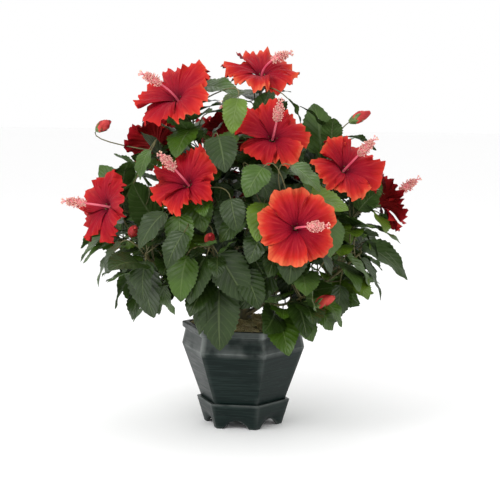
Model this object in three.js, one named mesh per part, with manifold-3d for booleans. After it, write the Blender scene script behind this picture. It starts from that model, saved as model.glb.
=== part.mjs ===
// Silk hibiscus bush with red-orange blooms, standing in a six-sided planter with a scalloped foot.
// Millimetres, +Z up. The origin is on the floor, on the planter's axis.
import * as THREE from 'three';
import { mergeGeometries, mergeVertices } from 'three/addons/utils/BufferGeometryUtils.js';
import Module from 'manifold-3d';

const wasm = await Module();
wasm.setup();

const { PI, abs, cos, max, min, sin } = Math;
const DEGREE = PI / 180;
const GAP = 0.3; // between pieces that rest on one another
const SLIVER = 0.05; // edges shorter than this are closed up

// Planter. Each radius runs from the axis to a corner of the hexagon.
const SIDES = 6;
const FLAT_TO_CORNER = cos(PI / SIDES);
const FOOT = { height: 38, baseRadius: 58.5, topRadius: 70, wall: 4.5, plate: 4, plateTop: 26 };
const ARCH = { width: 38, height: 12 };
const POT = {
  waistRadius: 64, waistHeight: 40,
  shoulderRadius: 92, shoulderHeight: 116.5,
  neckRadius: 87, neckHeight: 138,
  lipRadius: 91.5, lipHeight: 141, height: 149,
  wall: 4.5,
};
const MOSS = { edgeHeight: 143, crownHeight: 151, seatRadius: 20 };

// Stems. The main stem stands in the moss; the boughs leave it all round, the steeper ones higher up.
const STEM = { flareRadius: 17, rootRadius: 11.5, tipRadius: 9, height: 63, flareHeight: 14, lean: 3 };
const BOUGH = { rootRadius: 2.5, tipRadius: 2, lowestRoot: 162, highestRoot: 207 };
const SHOOT = { rootRadius: 1.9, tipRadius: 1.4 };
const TWIG = { rootRadius: 1.3, tipRadius: 1, stations: [0.15, 0.85] };

// Crown. Places in it are given from the fork by azimuth, rise and reach. Azimuth 0 is the crown's
// best side, which is turned a little from the planter's front face, and grows towards its right.
const FORK_HEIGHT = 190;
const CROWN_TURN = 10.9;
const MASS_INNER_REACH = 72; // boughs end here, and no leaf comes nearer to the fork
const CROWN_REACH = 335;
const SPACE_MARGIN = 0.5; // kept by each mass to the borders of its own space
const LEAF = {
  thickness: 1.4, curl: 38, fold: 14, petiole: 22, shortestPetiole: 6, hang: 0.6, clearance: 7,
  stations: [0.18, 0.58], widest: 0.5, point: 1, ordinary: [60, 88], ratio: [0.62, 0.8], attempts: 18,
  outerSway: 0.4,
};
const BLOOM = {
  petalThickness: 1.5, overlap: 0.55, twist: 4, tubeLength: 20, throatRadius: 8, calyxRadius: 3,
  column: 31, brush: 24, brushRadius: 6, columnRadius: 1.5,
  stations: [[0.45, 0.45, 1], [0.82, 1, 0.8]], // along a petal's middle, along its edges, half width
};
const BUD = { length: 34, radius: 6 };
const POT_CLEARANCE = 7;
const GOLDEN_ANGLE = 137.5;

// One entry for each mass of foliage. axis: azimuth and rise of the middle of its space. end: azimuth,
// rise and reach of the bloom, bud or leaf at the end of its shoot. face: where that bloom or bud
// looks. petals, size and lean of a bloom: how many, their length, and where its column leans to.
// tips: leaves that make the outline, each by azimuth, rise and reach of its tip, length, and width
// as a share of length. extra: leaves dealt out along the shoot by the seeded rule.
const MASSES = [
  { name: 'upper_left', axis: [-57, 70], end: [-57, 69, 316], face: [-40, 48], size: 62, petals: 5,
    lean: [-75, 25], tips: [[-47, 82, 292, 78, 0.62], [-41, 72, 262, 88, 0.7], [-66, 62, 292, 80, 0.6]],
    extra: 8 },
  { name: 'top', axis: [100, 86], end: [105, 85, 328], face: [10, 66], size: 56, petals: 5,
    lean: [110, 12], tips: [[60, 79, 320, 86, 0.68], [-60, 80, 290, 74, 0.6]], extra: 7 },
  { name: 'middle_left', axis: [-33, 50], end: [-31, 50, 236], face: [-32, 40], size: 52, petals: 6,
    lean: [-50, 40],
    tips: [[-20, 36, 190, 90, 0.78], [-14, 58, 222, 84, 0.74], [-38, 31, 200, 80, 0.62],
      [-50, 60, 250, 76, 0.7], [-33, 62, 255, 80, 0.66], [-24, 30, 160, 80, 0.74]], extra: 10 },
  { name: 'centre', axis: [22, 66], end: [25, 67, 262], face: [10, 38], size: 54, petals: 5,
    lean: [20, 62], tips: [[4, 61, 276, 66, 0.9], [16, 50, 205, 86, 0.74], [50, 68, 280, 80, 0.72],
      [-2, 52, 210, 84, 0.72], [30, 52, 190, 76, 0.7]], extra: 11 },
  { name: 'left', axis: [-76, 38], end: [-76, 34, 246], face: [-52, 14], size: 54, petals: 5,
    lean: [-98, 4], tips: [[-66, 26, 222, 80, 0.66], [-95, 42, 284, 88, 0.55], [-70, 46, 240, 78, 0.72],
      [-80, 14, 222, 84, 0.62]], bud: [-62, 31, 204, 8], extra: 6 },
  { name: 'front_right', axis: [24, 33], end: [22, 32, 232], face: [6, 12], size: 56, petals: 5,
    lean: [60, 5], tips: [[19, 13, 200, 88, 0.74], [4, 28, 190, 86, 0.72], [36, 47, 218, 80, 0.7],
      [44, 22, 200, 80, 0.66], [10, 44, 186, 80, 0.74]], extra: 11 },
  { name: 'right', axis: [58, 46], end: [59, 49, 260], face: [32, 36], size: 54, petals: 5,
    lean: [75, 45], tips: [[80, 31, 276, 90, 0.62], [53, 27, 226, 92, 0.64], [50, 60, 262, 72, 0.6]],
    extra: 8 },
  { name: 'upper_right', axis: [102, 64], end: [88, 60, 272], size: 0,
    tips: [[80, 74, 292, 66, 0.4], [96, 71, 309, 70, 0.36], [82, 62, 306, 64, 0.6],
      [84, 55, 286, 66, 0.42]], bud: [90, 57, 312, 98], extra: 6 },
  { name: 'far_right', axis: [98, 30], end: [98, 33, 250], face: [112, 20], size: 52, petals: 5,
    lean: [92, 36], tips: [[73, 23, 240, 84, 0.66], [90, 23, 262, 78, 0.66], [84, 14, 254, 76, 0.5]],
    extra: 7 },
  { name: 'back_left', axis: [-118, 54], end: [-116, 57, 262], face: [-165, 25], size: 50, petals: 5,
    lean: [-160, 40], tips: [[-94, 58, 286, 80, 0.5], [-96, 62, 318, 72, 0.34], [-140, 45, 262, 80, 0.7]],
    bud: [-99, 50, 322, 45], extra: 6 },
  { name: 'lower_left', axis: [-54, 8], end: [-54, 24, 190], size: 0,
    tips: [[-52, -6, 160, 94, 0.8], [-43, 11, 178, 90, 0.5], [-49, -9, 130, 56, 0.5],
      [-71, 20, 198, 70, 0.5]], extra: 6 },
  { name: 'lower_front', axis: [-14, 16], end: [-17, 34, 184], size: 0,
    tips: [[-14, -24, 143, 90, 0.68], [-26, 4, 168, 72, 0.8], [-28, -17, 140, 84, 0.42],
      [2, 6, 150, 78, 0.72], [-6, 30, 182, 80, 0.72], [-4, 22, 140, 62, 0.7]],
    bud: [-17, 34, 184, 0], extra: 9 },
  { name: 'lower_right', axis: [34, -2], end: [38, 8, 150], size: 0,
    tips: [[54, 13, 182, 88, 0.66], [50, -11, 170, 50, 0.86], [23, -24, 145, 78, 0.6],
      [14, -10, 134, 76, 0.7], [22, 8, 160, 76, 0.66], [38, -4, 160, 80, 0.7]],
    bud: [43, 4, 168, 75], extra: 9 },
  { name: 'right_low', axis: [74, 6], end: [70, 22, 195], size: 0,
    tips: [[76, 0, 205, 76, 0.4], [66, 0, 184, 80, 0.34], [72, 1, 196, 78, 0.4], [83, 17, 250, 76, 0.44],
      [60, -12, 150, 60, 0.6]], extra: 6 },
  { name: 'side_left', axis: [-100, 10], end: [-96, 24, 205], size: 0,
    tips: [[-84, 4, 212, 82, 0.6], [-110, 2, 205, 86, 0.66], [-100, -8, 160, 76, 0.6]], extra: 5 },
  { name: 'back_top', axis: [-160, 70], end: [-168, 64, 252], face: [178, 42], size: 52, petals: 5,
    lean: [-160, 50], tips: [[170, 60, 262, 84, 0.66], [-130, 66, 275, 80, 0.6]], extra: 5 },
  { name: 'back_right', axis: [138, 46], end: [138, 46, 240], face: [144, 34], size: 52, petals: 5,
    lean: [120, 40], tips: [[120, 36, 262, 86, 0.64], [160, 38, 246, 84, 0.66], [120, 58, 275, 76, 0.6]],
    extra: 6 },
  { name: 'back_centre', axis: [-172, 36], end: [-172, 36, 212], face: [-175, 18], size: 55, petals: 5,
    lean: [-150, 30], tips: [[-155, 26, 228, 86, 0.64], [170, 20, 226, 88, 0.7], [-172, 54, 252, 78, 0.6]],
    extra: 6 },
  { name: 'back_low_left', axis: [-136, 14], end: [-134, 20, 205], size: 0,
    tips: [[-130, 2, 200, 86, 0.7], [-150, 6, 196, 84, 0.6], [-118, 22, 232, 80, 0.6]],
    bud: [-134, 28, 218, -130], extra: 5 },
  { name: 'back_low_right', axis: [112, 6], end: [112, 18, 205], size: 0,
    tips: [[112, -4, 196, 88, 0.66], [128, 8, 214, 80, 0.6], [98, 4, 214, 80, 0.6]], extra: 5 },
  { name: 'back_low', axis: [164, 2], end: [166, 16, 165], size: 0,
    tips: [[166, -12, 170, 88, 0.7], [148, -4, 180, 84, 0.66], [-174, -2, 176, 80, 0.6]], extra: 4 },
];

const COLOURS = {
  planter: { color: 0x2b3233, roughness: 0.42, metalness: 0.1 },
  moss: { color: 0x6f6146, roughness: 0.95, metalness: 0 },
  stem: { color: 0x4a4a2c, roughness: 0.7, metalness: 0 },
  foliage: { color: 0x3d5a30, roughness: 0.6, metalness: 0 },
};

const crown = new THREE.Group();

const vector = (x = 0, y = 0, z = 0) => new THREE.Vector3(x, y, z);
const UP = vector(0, 0, 1);
const FORK = vector(0, 0, FORK_HEIGHT);

// Unit vector towards an azimuth and rise of the crown, in degrees
function towards(azimuth, rise) {
  const turn = (azimuth + CROWN_TURN) * DEGREE;
  const flat = cos(rise * DEGREE);
  return vector(sin(turn) * flat, -cos(turn) * flat, sin(rise * DEGREE));
}

const polar = (azimuth, rise, reach) => towards(azimuth, rise).multiplyScalar(reach).add(FORK);

const mix = (a, b, t) => a + (b - a) * t;

// Deterministic numbers between 0 and 1
function seeded(seed) {
  let state = seed * 7919 + 17;
  return () => {
    state = (state * 16807) % 2147483647;
    return state / 2147483647;
  };
}

// Any unit vector square to a given one, and the part of one vector that is square to another
function squareTo(axis) {
  const other = abs(axis.z) < 0.9 ? UP : vector(1, 0, 0);
  return vector().crossVectors(axis, other).normalize();
}

const across = (v, axis) => v.clone().addScaledVector(axis, -v.dot(axis)).normalize();

// A closed geometry as a solid, with its shared corners merged and its faces pointing out
function solid(geometry) {
  const plain = geometry.index ? geometry.clone() : geometry;
  plain.deleteAttribute('normal');
  plain.deleteAttribute('uv');
  const merged = mergeVertices(plain, 1e-5);
  const points = merged.attributes.position;
  const index = merged.index.array;
  const corners = [];
  for (let i = 0; i < index.length; i += 3) {
    const [a, b, c] = [index[i], index[i + 1], index[i + 2]];
    if (a !== b && b !== c && c !== a) corners.push(a, b, c);
  }
  const at = (i) => vector().fromBufferAttribute(points, i);
  let volume = 0;
  for (let i = 0; i < corners.length; i += 3) {
    volume += at(corners[i]).dot(at(corners[i + 1]).cross(at(corners[i + 2])));
  }
  if (volume < 0) corners.reverse();
  return new wasm.Manifold(new wasm.Mesh({
    numProp: 3,
    vertProperties: new Float32Array(points.array),
    triVerts: new Uint32Array(corners),
  }));
}

// The solid's largest body, so that sealed hollows are filled and loose scraps dropped
function oneBody(shape) {
  return shape.decompose().sort((a, b) => b.volume() - a.volume())[0];
}

function addPart(name, shape, look) {
  const mesh = shape.getMesh();
  const geometry = new THREE.BufferGeometry();
  geometry.setAttribute('position', new THREE.BufferAttribute(mesh.vertProperties, 3));
  geometry.setIndex(new THREE.BufferAttribute(mesh.triVerts, 1));
  geometry.computeVertexNormals();
  const part = new THREE.Mesh(geometry, new THREE.MeshStandardMaterial(look));
  part.name = name;
  crown.add(part);
}

// Six-sided solid of revolution about Z from a profile of [radius, height], one flat face towards -Y
function hexagonal(profile) {
  const points = profile.map(([radius, height]) => new THREE.Vector2(radius, height));
  return solid(new THREE.LatheGeometry(points, SIDES, PI / SIDES).rotateX(PI / 2));
}

// Planter: a tapering hexagonal pot with a waist, a shoulder, a sunk neck and a rolled lip
const potSlope = (POT.shoulderRadius - POT.waistRadius) / (POT.shoulderHeight - POT.waistHeight);
const potBottom = FOOT.plateTop + GAP;
const potRadius = (height) => POT.waistRadius + (height - POT.waistHeight) * potSlope;
const wallRadius = POT.wall / FLAT_TO_CORNER;
const potFloor = potBottom + POT.wall;
const innerNeck = POT.neckRadius - wallRadius;

function buildPlanter() {
  return hexagonal([
    [0, potBottom], [potRadius(potBottom), potBottom],
    [POT.shoulderRadius, POT.shoulderHeight],
    [POT.neckRadius, POT.neckHeight], [POT.lipRadius, POT.lipHeight], [POT.lipRadius, POT.height - 1.5],
    [POT.lipRadius - 1.5, POT.height], [innerNeck + 1.5, POT.height], [innerNeck, POT.height - 1.5],
    [innerNeck, POT.neckHeight], [POT.shoulderRadius - wallRadius, POT.shoulderHeight],
    [potRadius(potFloor) - wallRadius, potFloor], [0, potFloor],
  ]);
}

// Foot: a flared tray that the pot stands in, cut by one low arch in each face
function archOutline() {
  const half = ARCH.width / 2;
  const outline = new THREE.Shape();
  outline.moveTo(-half, -1);
  outline.lineTo(half, -1);
  outline.lineTo(half, 0.5);
  outline.bezierCurveTo(half * 0.9, 1.5, half * 0.65, ARCH.height, 0, ARCH.height);
  outline.bezierCurveTo(-half * 0.65, ARCH.height, -half * 0.9, 1.5, -half, 0.5);
  return outline;
}

function buildFoot() {
  const wall = FOOT.wall / FLAT_TO_CORNER;
  const plateBottom = FOOT.plateTop - FOOT.plate;
  const skirtRadius = (height) => mix(FOOT.baseRadius, FOOT.topRadius, height / FOOT.height);
  let foot = hexagonal([
    [0, plateBottom], [skirtRadius(plateBottom) - wall, plateBottom], [FOOT.baseRadius - wall, 0],
    [FOOT.baseRadius, 0], [FOOT.topRadius, FOOT.height - 2], [FOOT.topRadius - 1.5, FOOT.height],
    [potRadius(FOOT.height) + 1, FOOT.height], [potRadius(FOOT.plateTop) + 1, FOOT.plateTop],
    [0, FOOT.plateTop],
  ]);
  for (let face = 0; face < SIDES / 2; face += 1) {
    const depth = FOOT.topRadius * 2.2;
    const arch = new THREE.ExtrudeGeometry(archOutline(), { depth, bevelEnabled: false, curveSegments: 5 });
    arch.translate(0, 0, -depth / 2).rotateX(PI / 2).rotateZ((face * 2 * PI) / SIDES);
    foot = foot.subtract(solid(arch));
  }
  return foot;
}

// Moss: fills the pot, and is mounded a little towards the stem with a flat seat under it
function buildMoss() {
  const inside = (radius) => radius - wallRadius - GAP / FLAT_TO_CORNER;
  return hexagonal([
    [0, potFloor + GAP], [inside(potRadius(potFloor)) - GAP, potFloor + GAP],
    [inside(POT.shoulderRadius) - GAP, POT.shoulderHeight], [inside(POT.neckRadius), POT.neckHeight],
    [inside(POT.neckRadius), MOSS.edgeHeight], [POT.neckRadius * 0.6, MOSS.crownHeight - 2],
    [MOSS.seatRadius, MOSS.crownHeight], [0, MOSS.crownHeight],
  ]);
}

// A limb along a curve. Its radius is given for each share of its length; both ends are flat.
function limb(curve, radiusAt, segments, sides) {
  const geometry = new THREE.CylinderGeometry(1, 1, 1, sides, segments);
  const frames = curve.computeFrenetFrames(segments);
  const points = geometry.attributes.position;
  for (let i = 0; i < points.count; i += 1) {
    const share = points.getY(i) + 0.5;
    const station = Math.round(share * segments);
    const radius = radiusAt(share);
    const place = curve.getPointAt(share)
      .addScaledVector(frames.normals[station], points.getX(i) * radius)
      .addScaledVector(frames.binormals[station], points.getZ(i) * radius);
    points.setXYZ(i, place.x, place.y, place.z);
  }
  return solid(geometry);
}

const taper = (root, tip) => (share) => mix(root, tip, share);

// A thin blade: an upper and a lower sheet that meet along both edges and in a point at each end.
// Each ring has the blade's one edge, its upper middle, its other edge and its lower middle.
function blade(rings, first, last) {
  const rows = rings.length + 1;
  const sheets = [1, 3].map((middle) => {
    const sheet = new THREE.PlaneGeometry(2, rows, 2, rows);
    const points = sheet.attributes.position;
    for (let i = 0; i < points.count; i += 1) {
      const row = Math.round(rows / 2 - points.getY(i));
      const corner = [0, middle, 2][Math.round(points.getX(i)) + 1];
      let place = row === 0 ? first : last;
      if (row > 0 && row < rows) place = rings[row - 1][corner];
      points.setXYZ(i, place.x, place.y, place.z);
    }
    return sheet;
  });
  sheets[1].index.array.reverse();
  return solid(mergeGeometries(sheets));
}

// Places on a leaf, from its tip, the line and length of its chord, and the side it shows.
// The blade bends down along an arc and is folded a little along its midrib.
class Leaf {
  constructor(tip, chord, shows, length, ratio) {
    Object.assign(this, { length, halfWidth: (length * ratio) / 2, curl: LEAF.curl * DEGREE });
    const normal = across(shows, chord);
    const [c, s] = [cos(this.curl / 2), sin(this.curl / 2)];
    this.along = chord.clone().multiplyScalar(c).addScaledVector(normal, s);
    this.normal = normal.clone().multiplyScalar(c).addScaledVector(chord, -s);
    this.side = vector().crossVectors(this.along, this.normal);
    this.base = tip.clone().addScaledVector(chord, (-2 * s * length) / this.curl);
  }

  // share of the length, and -1 to 1 from edge to edge
  at(share, sideways, lift = 0) {
    const bend = this.curl * share;
    const reach = (this.length * sin(bend)) / this.curl;
    const drop = (this.length * (1 - cos(bend))) / this.curl;
    const width = this.halfWidth * outline(share) * sideways;
    const fold = LEAF.fold * DEGREE;
    const rise = abs(width) * sin(fold) + lift;
    return this.base.clone()
      .addScaledVector(this.along, reach + rise * sin(bend))
      .addScaledVector(this.normal, rise * cos(bend) - drop)
      .addScaledVector(this.side, width * cos(fold));
  }

  samples() {
    const places = [this.at(1, 0)];
    for (const share of [0.12, 0.3, 0.48, 0.66, 0.84]) {
      for (const sideways of [-1, 0, 1]) places.push(this.at(share, sideways));
    }
    return places;
  }

  // Stalk and blade in one: the stalk starts in the shoot and widens into the blade
  solid(twig) {
    const half = LEAF.thickness / 2;
    const stalk = TWIG.stations.map((t) => {
      const place = twig.getPoint(t);
      const radius = mix(TWIG.rootRadius, TWIG.tipRadius, t);
      return [[this.side, radius], [this.normal, radius], [this.side, -radius], [this.normal, -radius]]
        .map(([way, offset]) => place.clone().addScaledVector(way, offset));
    });
    const ring = (t) => [this.at(t, 1), this.at(t, 0, half), this.at(t, -1), this.at(t, 0, -half)];
    return blade([...stalk, ...LEAF.stations.map(ring)], twig.getPoint(0), this.at(1, 0));
  }
}

// Half width of a leaf as a share of its greatest: rounded at the base, long-pointed at the tip
function outline(share) {
  const widestAt = LEAF.widest / (LEAF.widest + LEAF.point);
  const greatest = widestAt ** LEAF.widest * (1 - widestAt) ** LEAF.point;
  return (share ** LEAF.widest * (1 - share) ** LEAF.point) / greatest;
}

// Places on a bloom, from its throat and the way it faces. Petals rise from the tube and bend out.
class Bloom {
  constructor(throat, face, size, petals, lean, spin) {
    Object.assign(this, { throat, face, size, petals, lean, spin });
    this.right = squareTo(face);
    this.up = vector().crossVectors(face, this.right);
    this.calyx = throat.clone().addScaledVector(face, -BLOOM.tubeLength);
    this.steps = [[2, -BLOOM.tubeLength * 0.7]];
    const count = 20;
    for (let i = 0; i < count; i += 1) {
      const share = (i + 0.5) / count;
      const angle = mix(22, 98, 1 - (1 - share) ** 2) * DEGREE;
      const step = (size * 1.12) / count;
      const [radius, height] = this.steps[i];
      this.steps.push([radius + sin(angle) * step, height + cos(angle) * step]);
    }
  }

  // share of a petal's length, and -1 to 1 from edge to edge; side edges end before the middle does
  petal(number, share, sideways, lift = 0) {
    const reach = share * (1 - 0.22 * abs(sideways) ** 2.5) * (this.steps.length - 1);
    const low = min(Math.floor(reach), this.steps.length - 2);
    const radius = mix(this.steps[low][0], this.steps[low + 1][0], reach - low);
    const height = mix(this.steps[low][1], this.steps[low + 1][1], reach - low);
    const turn = this.spin + ((number + sideways * BLOOM.overlap) * 2 * PI) / this.petals;
    const twist = BLOOM.twist * sideways * share;
    return this.throat.clone()
      .addScaledVector(this.right, radius * cos(turn))
      .addScaledVector(this.up, radius * sin(turn))
      .addScaledVector(this.face, height + lift + twist);
  }

  // Column of stamens: leaves the throat along the bloom's face and bends towards its lean
  columnCurve() {
    const start = this.throat.clone().addScaledVector(this.face, -BLOOM.tubeLength * 0.5);
    const middle = this.throat.clone().addScaledVector(this.face, BLOOM.column * 0.6);
    const end = middle.clone().addScaledVector(this.lean, BLOOM.column * 0.55 + BLOOM.brush);
    return new THREE.QuadraticBezierCurve3(start, middle, end);
  }

  samples() {
    const places = [this.columnCurve().getPoint(0.75), this.columnCurve().getPoint(1)];
    for (let number = 0; number < this.petals; number += 1) {
      for (const share of [0.4, 0.6, 0.8, 1]) {
        for (const sideways of [-0.9, -0.45, 0, 0.45, 0.9]) places.push(this.petal(number, share, sideways));
      }
    }
    return places;
  }

  solid() {
    const tube = new THREE.LineCurve3(this.calyx, this.throat.clone().addScaledVector(this.face, 1));
    let shape = limb(tube, taper(BLOOM.calyxRadius, BLOOM.throatRadius), 1, 6);
    const half = BLOOM.petalThickness / 2;
    for (let number = 0; number < this.petals; number += 1) {
      const rings = BLOOM.stations.map(([middle, edge, wide]) => [
        this.petal(number, edge, wide), this.petal(number, middle, 0, half),
        this.petal(number, edge, -wide), this.petal(number, middle, 0, -half),
      ]);
      shape = shape.add(blade(rings, this.petal(number, 0.05, 0), this.petal(number, 1, 0)));
    }
    const brushFrom = BLOOM.column / (BLOOM.brush + BLOOM.column);
    const column = limb(this.columnCurve(), (share) => {
      const along = (share - brushFrom) / (1 - brushFrom);
      return BLOOM.columnRadius + (along > 0 && along < 1 ? BLOOM.brushRadius - along * 2 : 0);
    }, 6, 4);
    return shape.add(column);
  }
}

// A closed bud with its green calyx, as a six-sided spindle
class Bud {
  constructor(place, face) {
    Object.assign(this, { place, face });
    this.calyx = place.clone().addScaledVector(face, -BUD.length / 2);
    this.tip = place.clone().addScaledVector(face, BUD.length / 2);
  }

  samples() {
    return [this.place, this.tip];
  }

  solid() {
    const radiusAt = (share) => BUD.radius * (0.3 + 0.7 * sin(PI * min(1, share * 0.9 + 0.1)));
    return limb(new THREE.LineCurve3(this.calyx, this.tip), radiusAt, 4, 6);
  }
}

// Spaces. Each mass owns the directions from the fork that lie nearest to its own axis.
const axes = MASSES.map((mass) => towards(...mass.axis));

function inOwnSpace(place, number) {
  const from = place.clone().sub(FORK);
  const reach = from.length();
  if (reach < MASS_INNER_REACH || reach > CROWN_REACH) return false;
  return axes.every((axis, other) => {
    if (other === number) return true;
    const border = axes[number].clone().sub(axis);
    return from.dot(border) > SPACE_MARGIN * border.length();
  });
}

function clearOfPlanter(place) {
  if (place.z > POT.height + POT_CLEARANCE) return true;
  let flat = 0;
  for (let face = 0; face < SIDES; face += 1) {
    const turn = (face * 2 * PI) / SIDES;
    flat = max(flat, place.x * sin(turn) - place.y * cos(turn));
  }
  return flat > POT.shoulderRadius * FLAT_TO_CORNER + POT_CLEARANCE;
}

// Main stem: upright, with a slight lean and a flare at its foot
const stemFoot = MOSS.crownHeight + GAP;
const stemCurve = new THREE.QuadraticBezierCurve3(
  vector(0, 0, stemFoot),
  vector(0, 0, stemFoot + STEM.height * 0.6),
  vector(STEM.lean, -STEM.lean, stemFoot + STEM.height),
);

function stemRadius(share) {
  const height = share * STEM.height;
  const flare = max(0, 1 - height / STEM.flareHeight) ** 2;
  return mix(STEM.rootRadius, STEM.tipRadius, share) + (STEM.flareRadius - STEM.rootRadius) * flare;
}

const buildStem = (grown = 0) => limb(stemCurve, (share) => stemRadius(share) + grown, 7, 10);

// Boughs: one for each mass, from the main stem to where its space begins
function boughCurve(mass, number) {
  const [azimuth, rise] = mass.axis;
  const height = mix(BOUGH.lowestRoot, BOUGH.highestRoot, max(0, rise) / 90);
  const lean = ((height - stemFoot) / STEM.height) * STEM.lean;
  const root = vector(lean, -lean, height).addScaledVector(towards(azimuth, 0), STEM.tipRadius * 0.6);
  const leaving = towards(azimuth, rise * 0.5 + 12);
  const end = FORK.clone().addScaledVector(axes[number], MASS_INNER_REACH);
  return new THREE.CubicBezierCurve3(
    root, root.clone().addScaledVector(leaving, 24), end.clone().addScaledVector(axes[number], -20), end,
  );
}

// The shoot of a mass: goes on from its bough's tip to the calyx or leaf at its end
function shootCurve(number, calyx, arriving) {
  const start = FORK.clone().addScaledVector(axes[number], MASS_INNER_REACH + GAP);
  const span = start.distanceTo(calyx);
  return new THREE.CubicBezierCurve3(
    start, start.clone().addScaledVector(axes[number], span * 0.4),
    calyx.clone().addScaledVector(arriving, -span * 0.35), calyx,
  );
}

const masses = MASSES.map((mass, number) => {
  const end = polar(...mass.end);
  const random = seeded(number + 1);
  const grown = { ...mass, number, random, leaves: [], blooms: [], buds: [] };
  grown.bough = boughCurve(mass, number);
  let calyx = end;
  let arriving = towards(mass.end[0], mass.end[1] + 20);
  if (mass.size) {
    arriving = towards(...mass.face);
    const lean = towards(...mass.lean);
    const bloom = new Bloom(end, arriving, mass.size, mass.petals, lean, random() * PI);
    grown.blooms.push(bloom);
    calyx = bloom.calyx;
  }
  grown.shoot = shootCurve(number, calyx, arriving);
  return grown;
});

// Everything that later leaves keep clear of
const taken = masses.flatMap((mass) => mass.blooms.flatMap((bloom) => bloom.samples()));
const limbs = masses.flatMap((mass) => [
  ...mass.bough.getPoints(12), ...mass.shoot.getPoints(14).slice(0, mass.blooms.length ? 15 : 13),
]);

const clearOf = (places, others, distance) => places.every(
  (place) => others.every((other) => place.distanceToSquared(other) > distance * distance),
);

// Twig from the shoot to a leaf or bud: it comes in along the leaf's own line
function twigCurve(root, end, arriving) {
  const bend = end.clone().addScaledVector(arriving, -0.45 * root.distanceTo(end));
  return new THREE.QuadraticBezierCurve3(root, bend, end);
}

// The place on a mass's shoot from which a twig of about the usual length reaches a tip, high up
// on the shoot where it can be, so that leaves hang
function nodeFor(mass, tip, wanted) {
  let best = null;
  for (let share = 0.04; share < 0.97; share += 0.04) {
    const place = mass.shoot.getPoint(share);
    const miss = abs(place.distanceTo(tip) - wanted) - LEAF.hang * place.z;
    if (!best || miss < best.miss) best = { place, miss };
  }
  return best.place;
}

const stalkSamples = (twig) => [twig.getPoint(0.55), twig.getPoint(0.8)];

function fits(mass, leaf, twig) {
  const places = leaf.samples();
  const own = [...places, twig.getPoint(0.5)];
  return own.every((place) => inOwnSpace(place, mass.number) && clearOfPlanter(place))
    && clearOf([...places, ...stalkSamples(twig)], taken, LEAF.clearance)
    && clearOf(places.slice(4), limbs, LEAF.clearance * 0.6);
}

// A leaf whose tip lies at a given place, or is skipped where it wouldn't fit there
function growLeaf(mass, tip, node, length, ratio, sway) {
  const chord = tip.clone().sub(node).normalize();
  const outward = tip.clone().sub(FORK);
  outward.z = max(outward.z, 0);
  const shows = outward.setLength(0.8).addScaledVector(UP, 0.5).add(sway);
  const leaf = new Leaf(tip, chord, shows, length, ratio);
  const twig = twigCurve(node, leaf.base, leaf.along);
  if (!fits(mass, leaf, twig)) return false;
  mass.leaves.push([leaf, twig]);
  taken.push(...leaf.samples(), ...stalkSamples(twig));
  return true;
}

const anyWay = (random, most) => vector(random() - 0.5, random() - 0.5, random() - 0.5)
  .multiplyScalar(most);

// A leaf of the crown's outline: at each new try it is shorter, and nearer to the middle of its space
function growOuterLeaf(mass, [azimuth, rise, reach, length, ratio]) {
  const tip = polar(azimuth, rise, reach);
  const middle = FORK.clone().addScaledVector(axes[mass.number], reach * 0.9);
  for (let attempt = 0; attempt < LEAF.attempts; attempt += 1) {
    const place = tip.clone().lerp(middle, 0.05 * attempt);
    const wanted = length * (1 - 0.03 * attempt);
    const node = nodeFor(mass, place, wanted + LEAF.petiole);
    const size = min(wanted, node.distanceTo(place) - LEAF.shortestPetiole);
    if (growLeaf(mass, place, node, size, ratio, anyWay(mass.random, LEAF.outerSway))) return;
  }
}

// A seeded leaf: springs from the shoot a golden angle further round than the one before. At each
// new try it is shorter and closer to the shoot.
function growInnerLeaf(mass, turn) {
  const share = mix(0.1, 0.92, (turn + 0.5) / mass.extra);
  const node = mass.shoot.getPoint(share);
  const along = mass.shoot.getTangent(share);
  const right = squareTo(along);
  const up = vector().crossVectors(along, right);
  const length = mix(...LEAF.ordinary, mass.random());
  const ratio = mix(...LEAF.ratio, mass.random());
  const start = turn * GOLDEN_ANGLE + mass.random() * 60;
  for (let attempt = 0; attempt < LEAF.attempts; attempt += 1) {
    const around = (start + attempt * 50) * DEGREE;
    const size = length * (1 - 0.03 * attempt);
    const way = right.clone().multiplyScalar(cos(around)).addScaledVector(up, sin(around))
      .addScaledVector(along, mix(0.4, 1.6, mass.random())).addScaledVector(UP, -0.25).normalize();
    const tip = node.clone().addScaledVector(way, size + LEAF.petiole);
    if (growLeaf(mass, tip, node, size, ratio, anyWay(mass.random, 1))) return;
  }
}

for (const mass of masses) {
  if (!mass.bud) continue;
  const [azimuth, rise, reach, looks] = mass.bud;
  const bud = new Bud(polar(azimuth, rise, reach), towards(looks, 25));
  const node = nodeFor(mass, bud.calyx, LEAF.petiole * 1.6);
  mass.buds.push([bud, twigCurve(node, bud.calyx.clone().addScaledVector(bud.face, 3), bud.face)]);
  taken.push(...bud.samples());
}

for (const mass of masses) {
  for (const tip of mass.tips) growOuterLeaf(mass, tip);
}

const mostExtra = max(...masses.map((mass) => mass.extra));
for (let turn = 0; turn < mostExtra; turn += 1) {
  for (const mass of masses) {
    if (turn < mass.extra) growInnerLeaf(mass, turn);
  }
}

// A mass as one solid: shoot, twigs, leaves, blooms and buds fused, and freed of slivers
function buildMass(mass) {
  let shape = limb(mass.shoot, taper(SHOOT.rootRadius, SHOOT.tipRadius), 5, 4);
  const pieces = [
    ...mass.leaves.map(([leaf, twig]) => leaf.solid(twig)),
    ...mass.blooms.map((bloom) => bloom.solid()),
    ...mass.buds.flatMap(([bud, twig]) => [bud.solid(), limb(twig, taper(TWIG.rootRadius, 1), 3, 4)]),
  ];
  for (const piece of pieces) shape = shape.add(piece);
  return oneBody(oneBody(shape).simplify(SLIVER));
}

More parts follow.
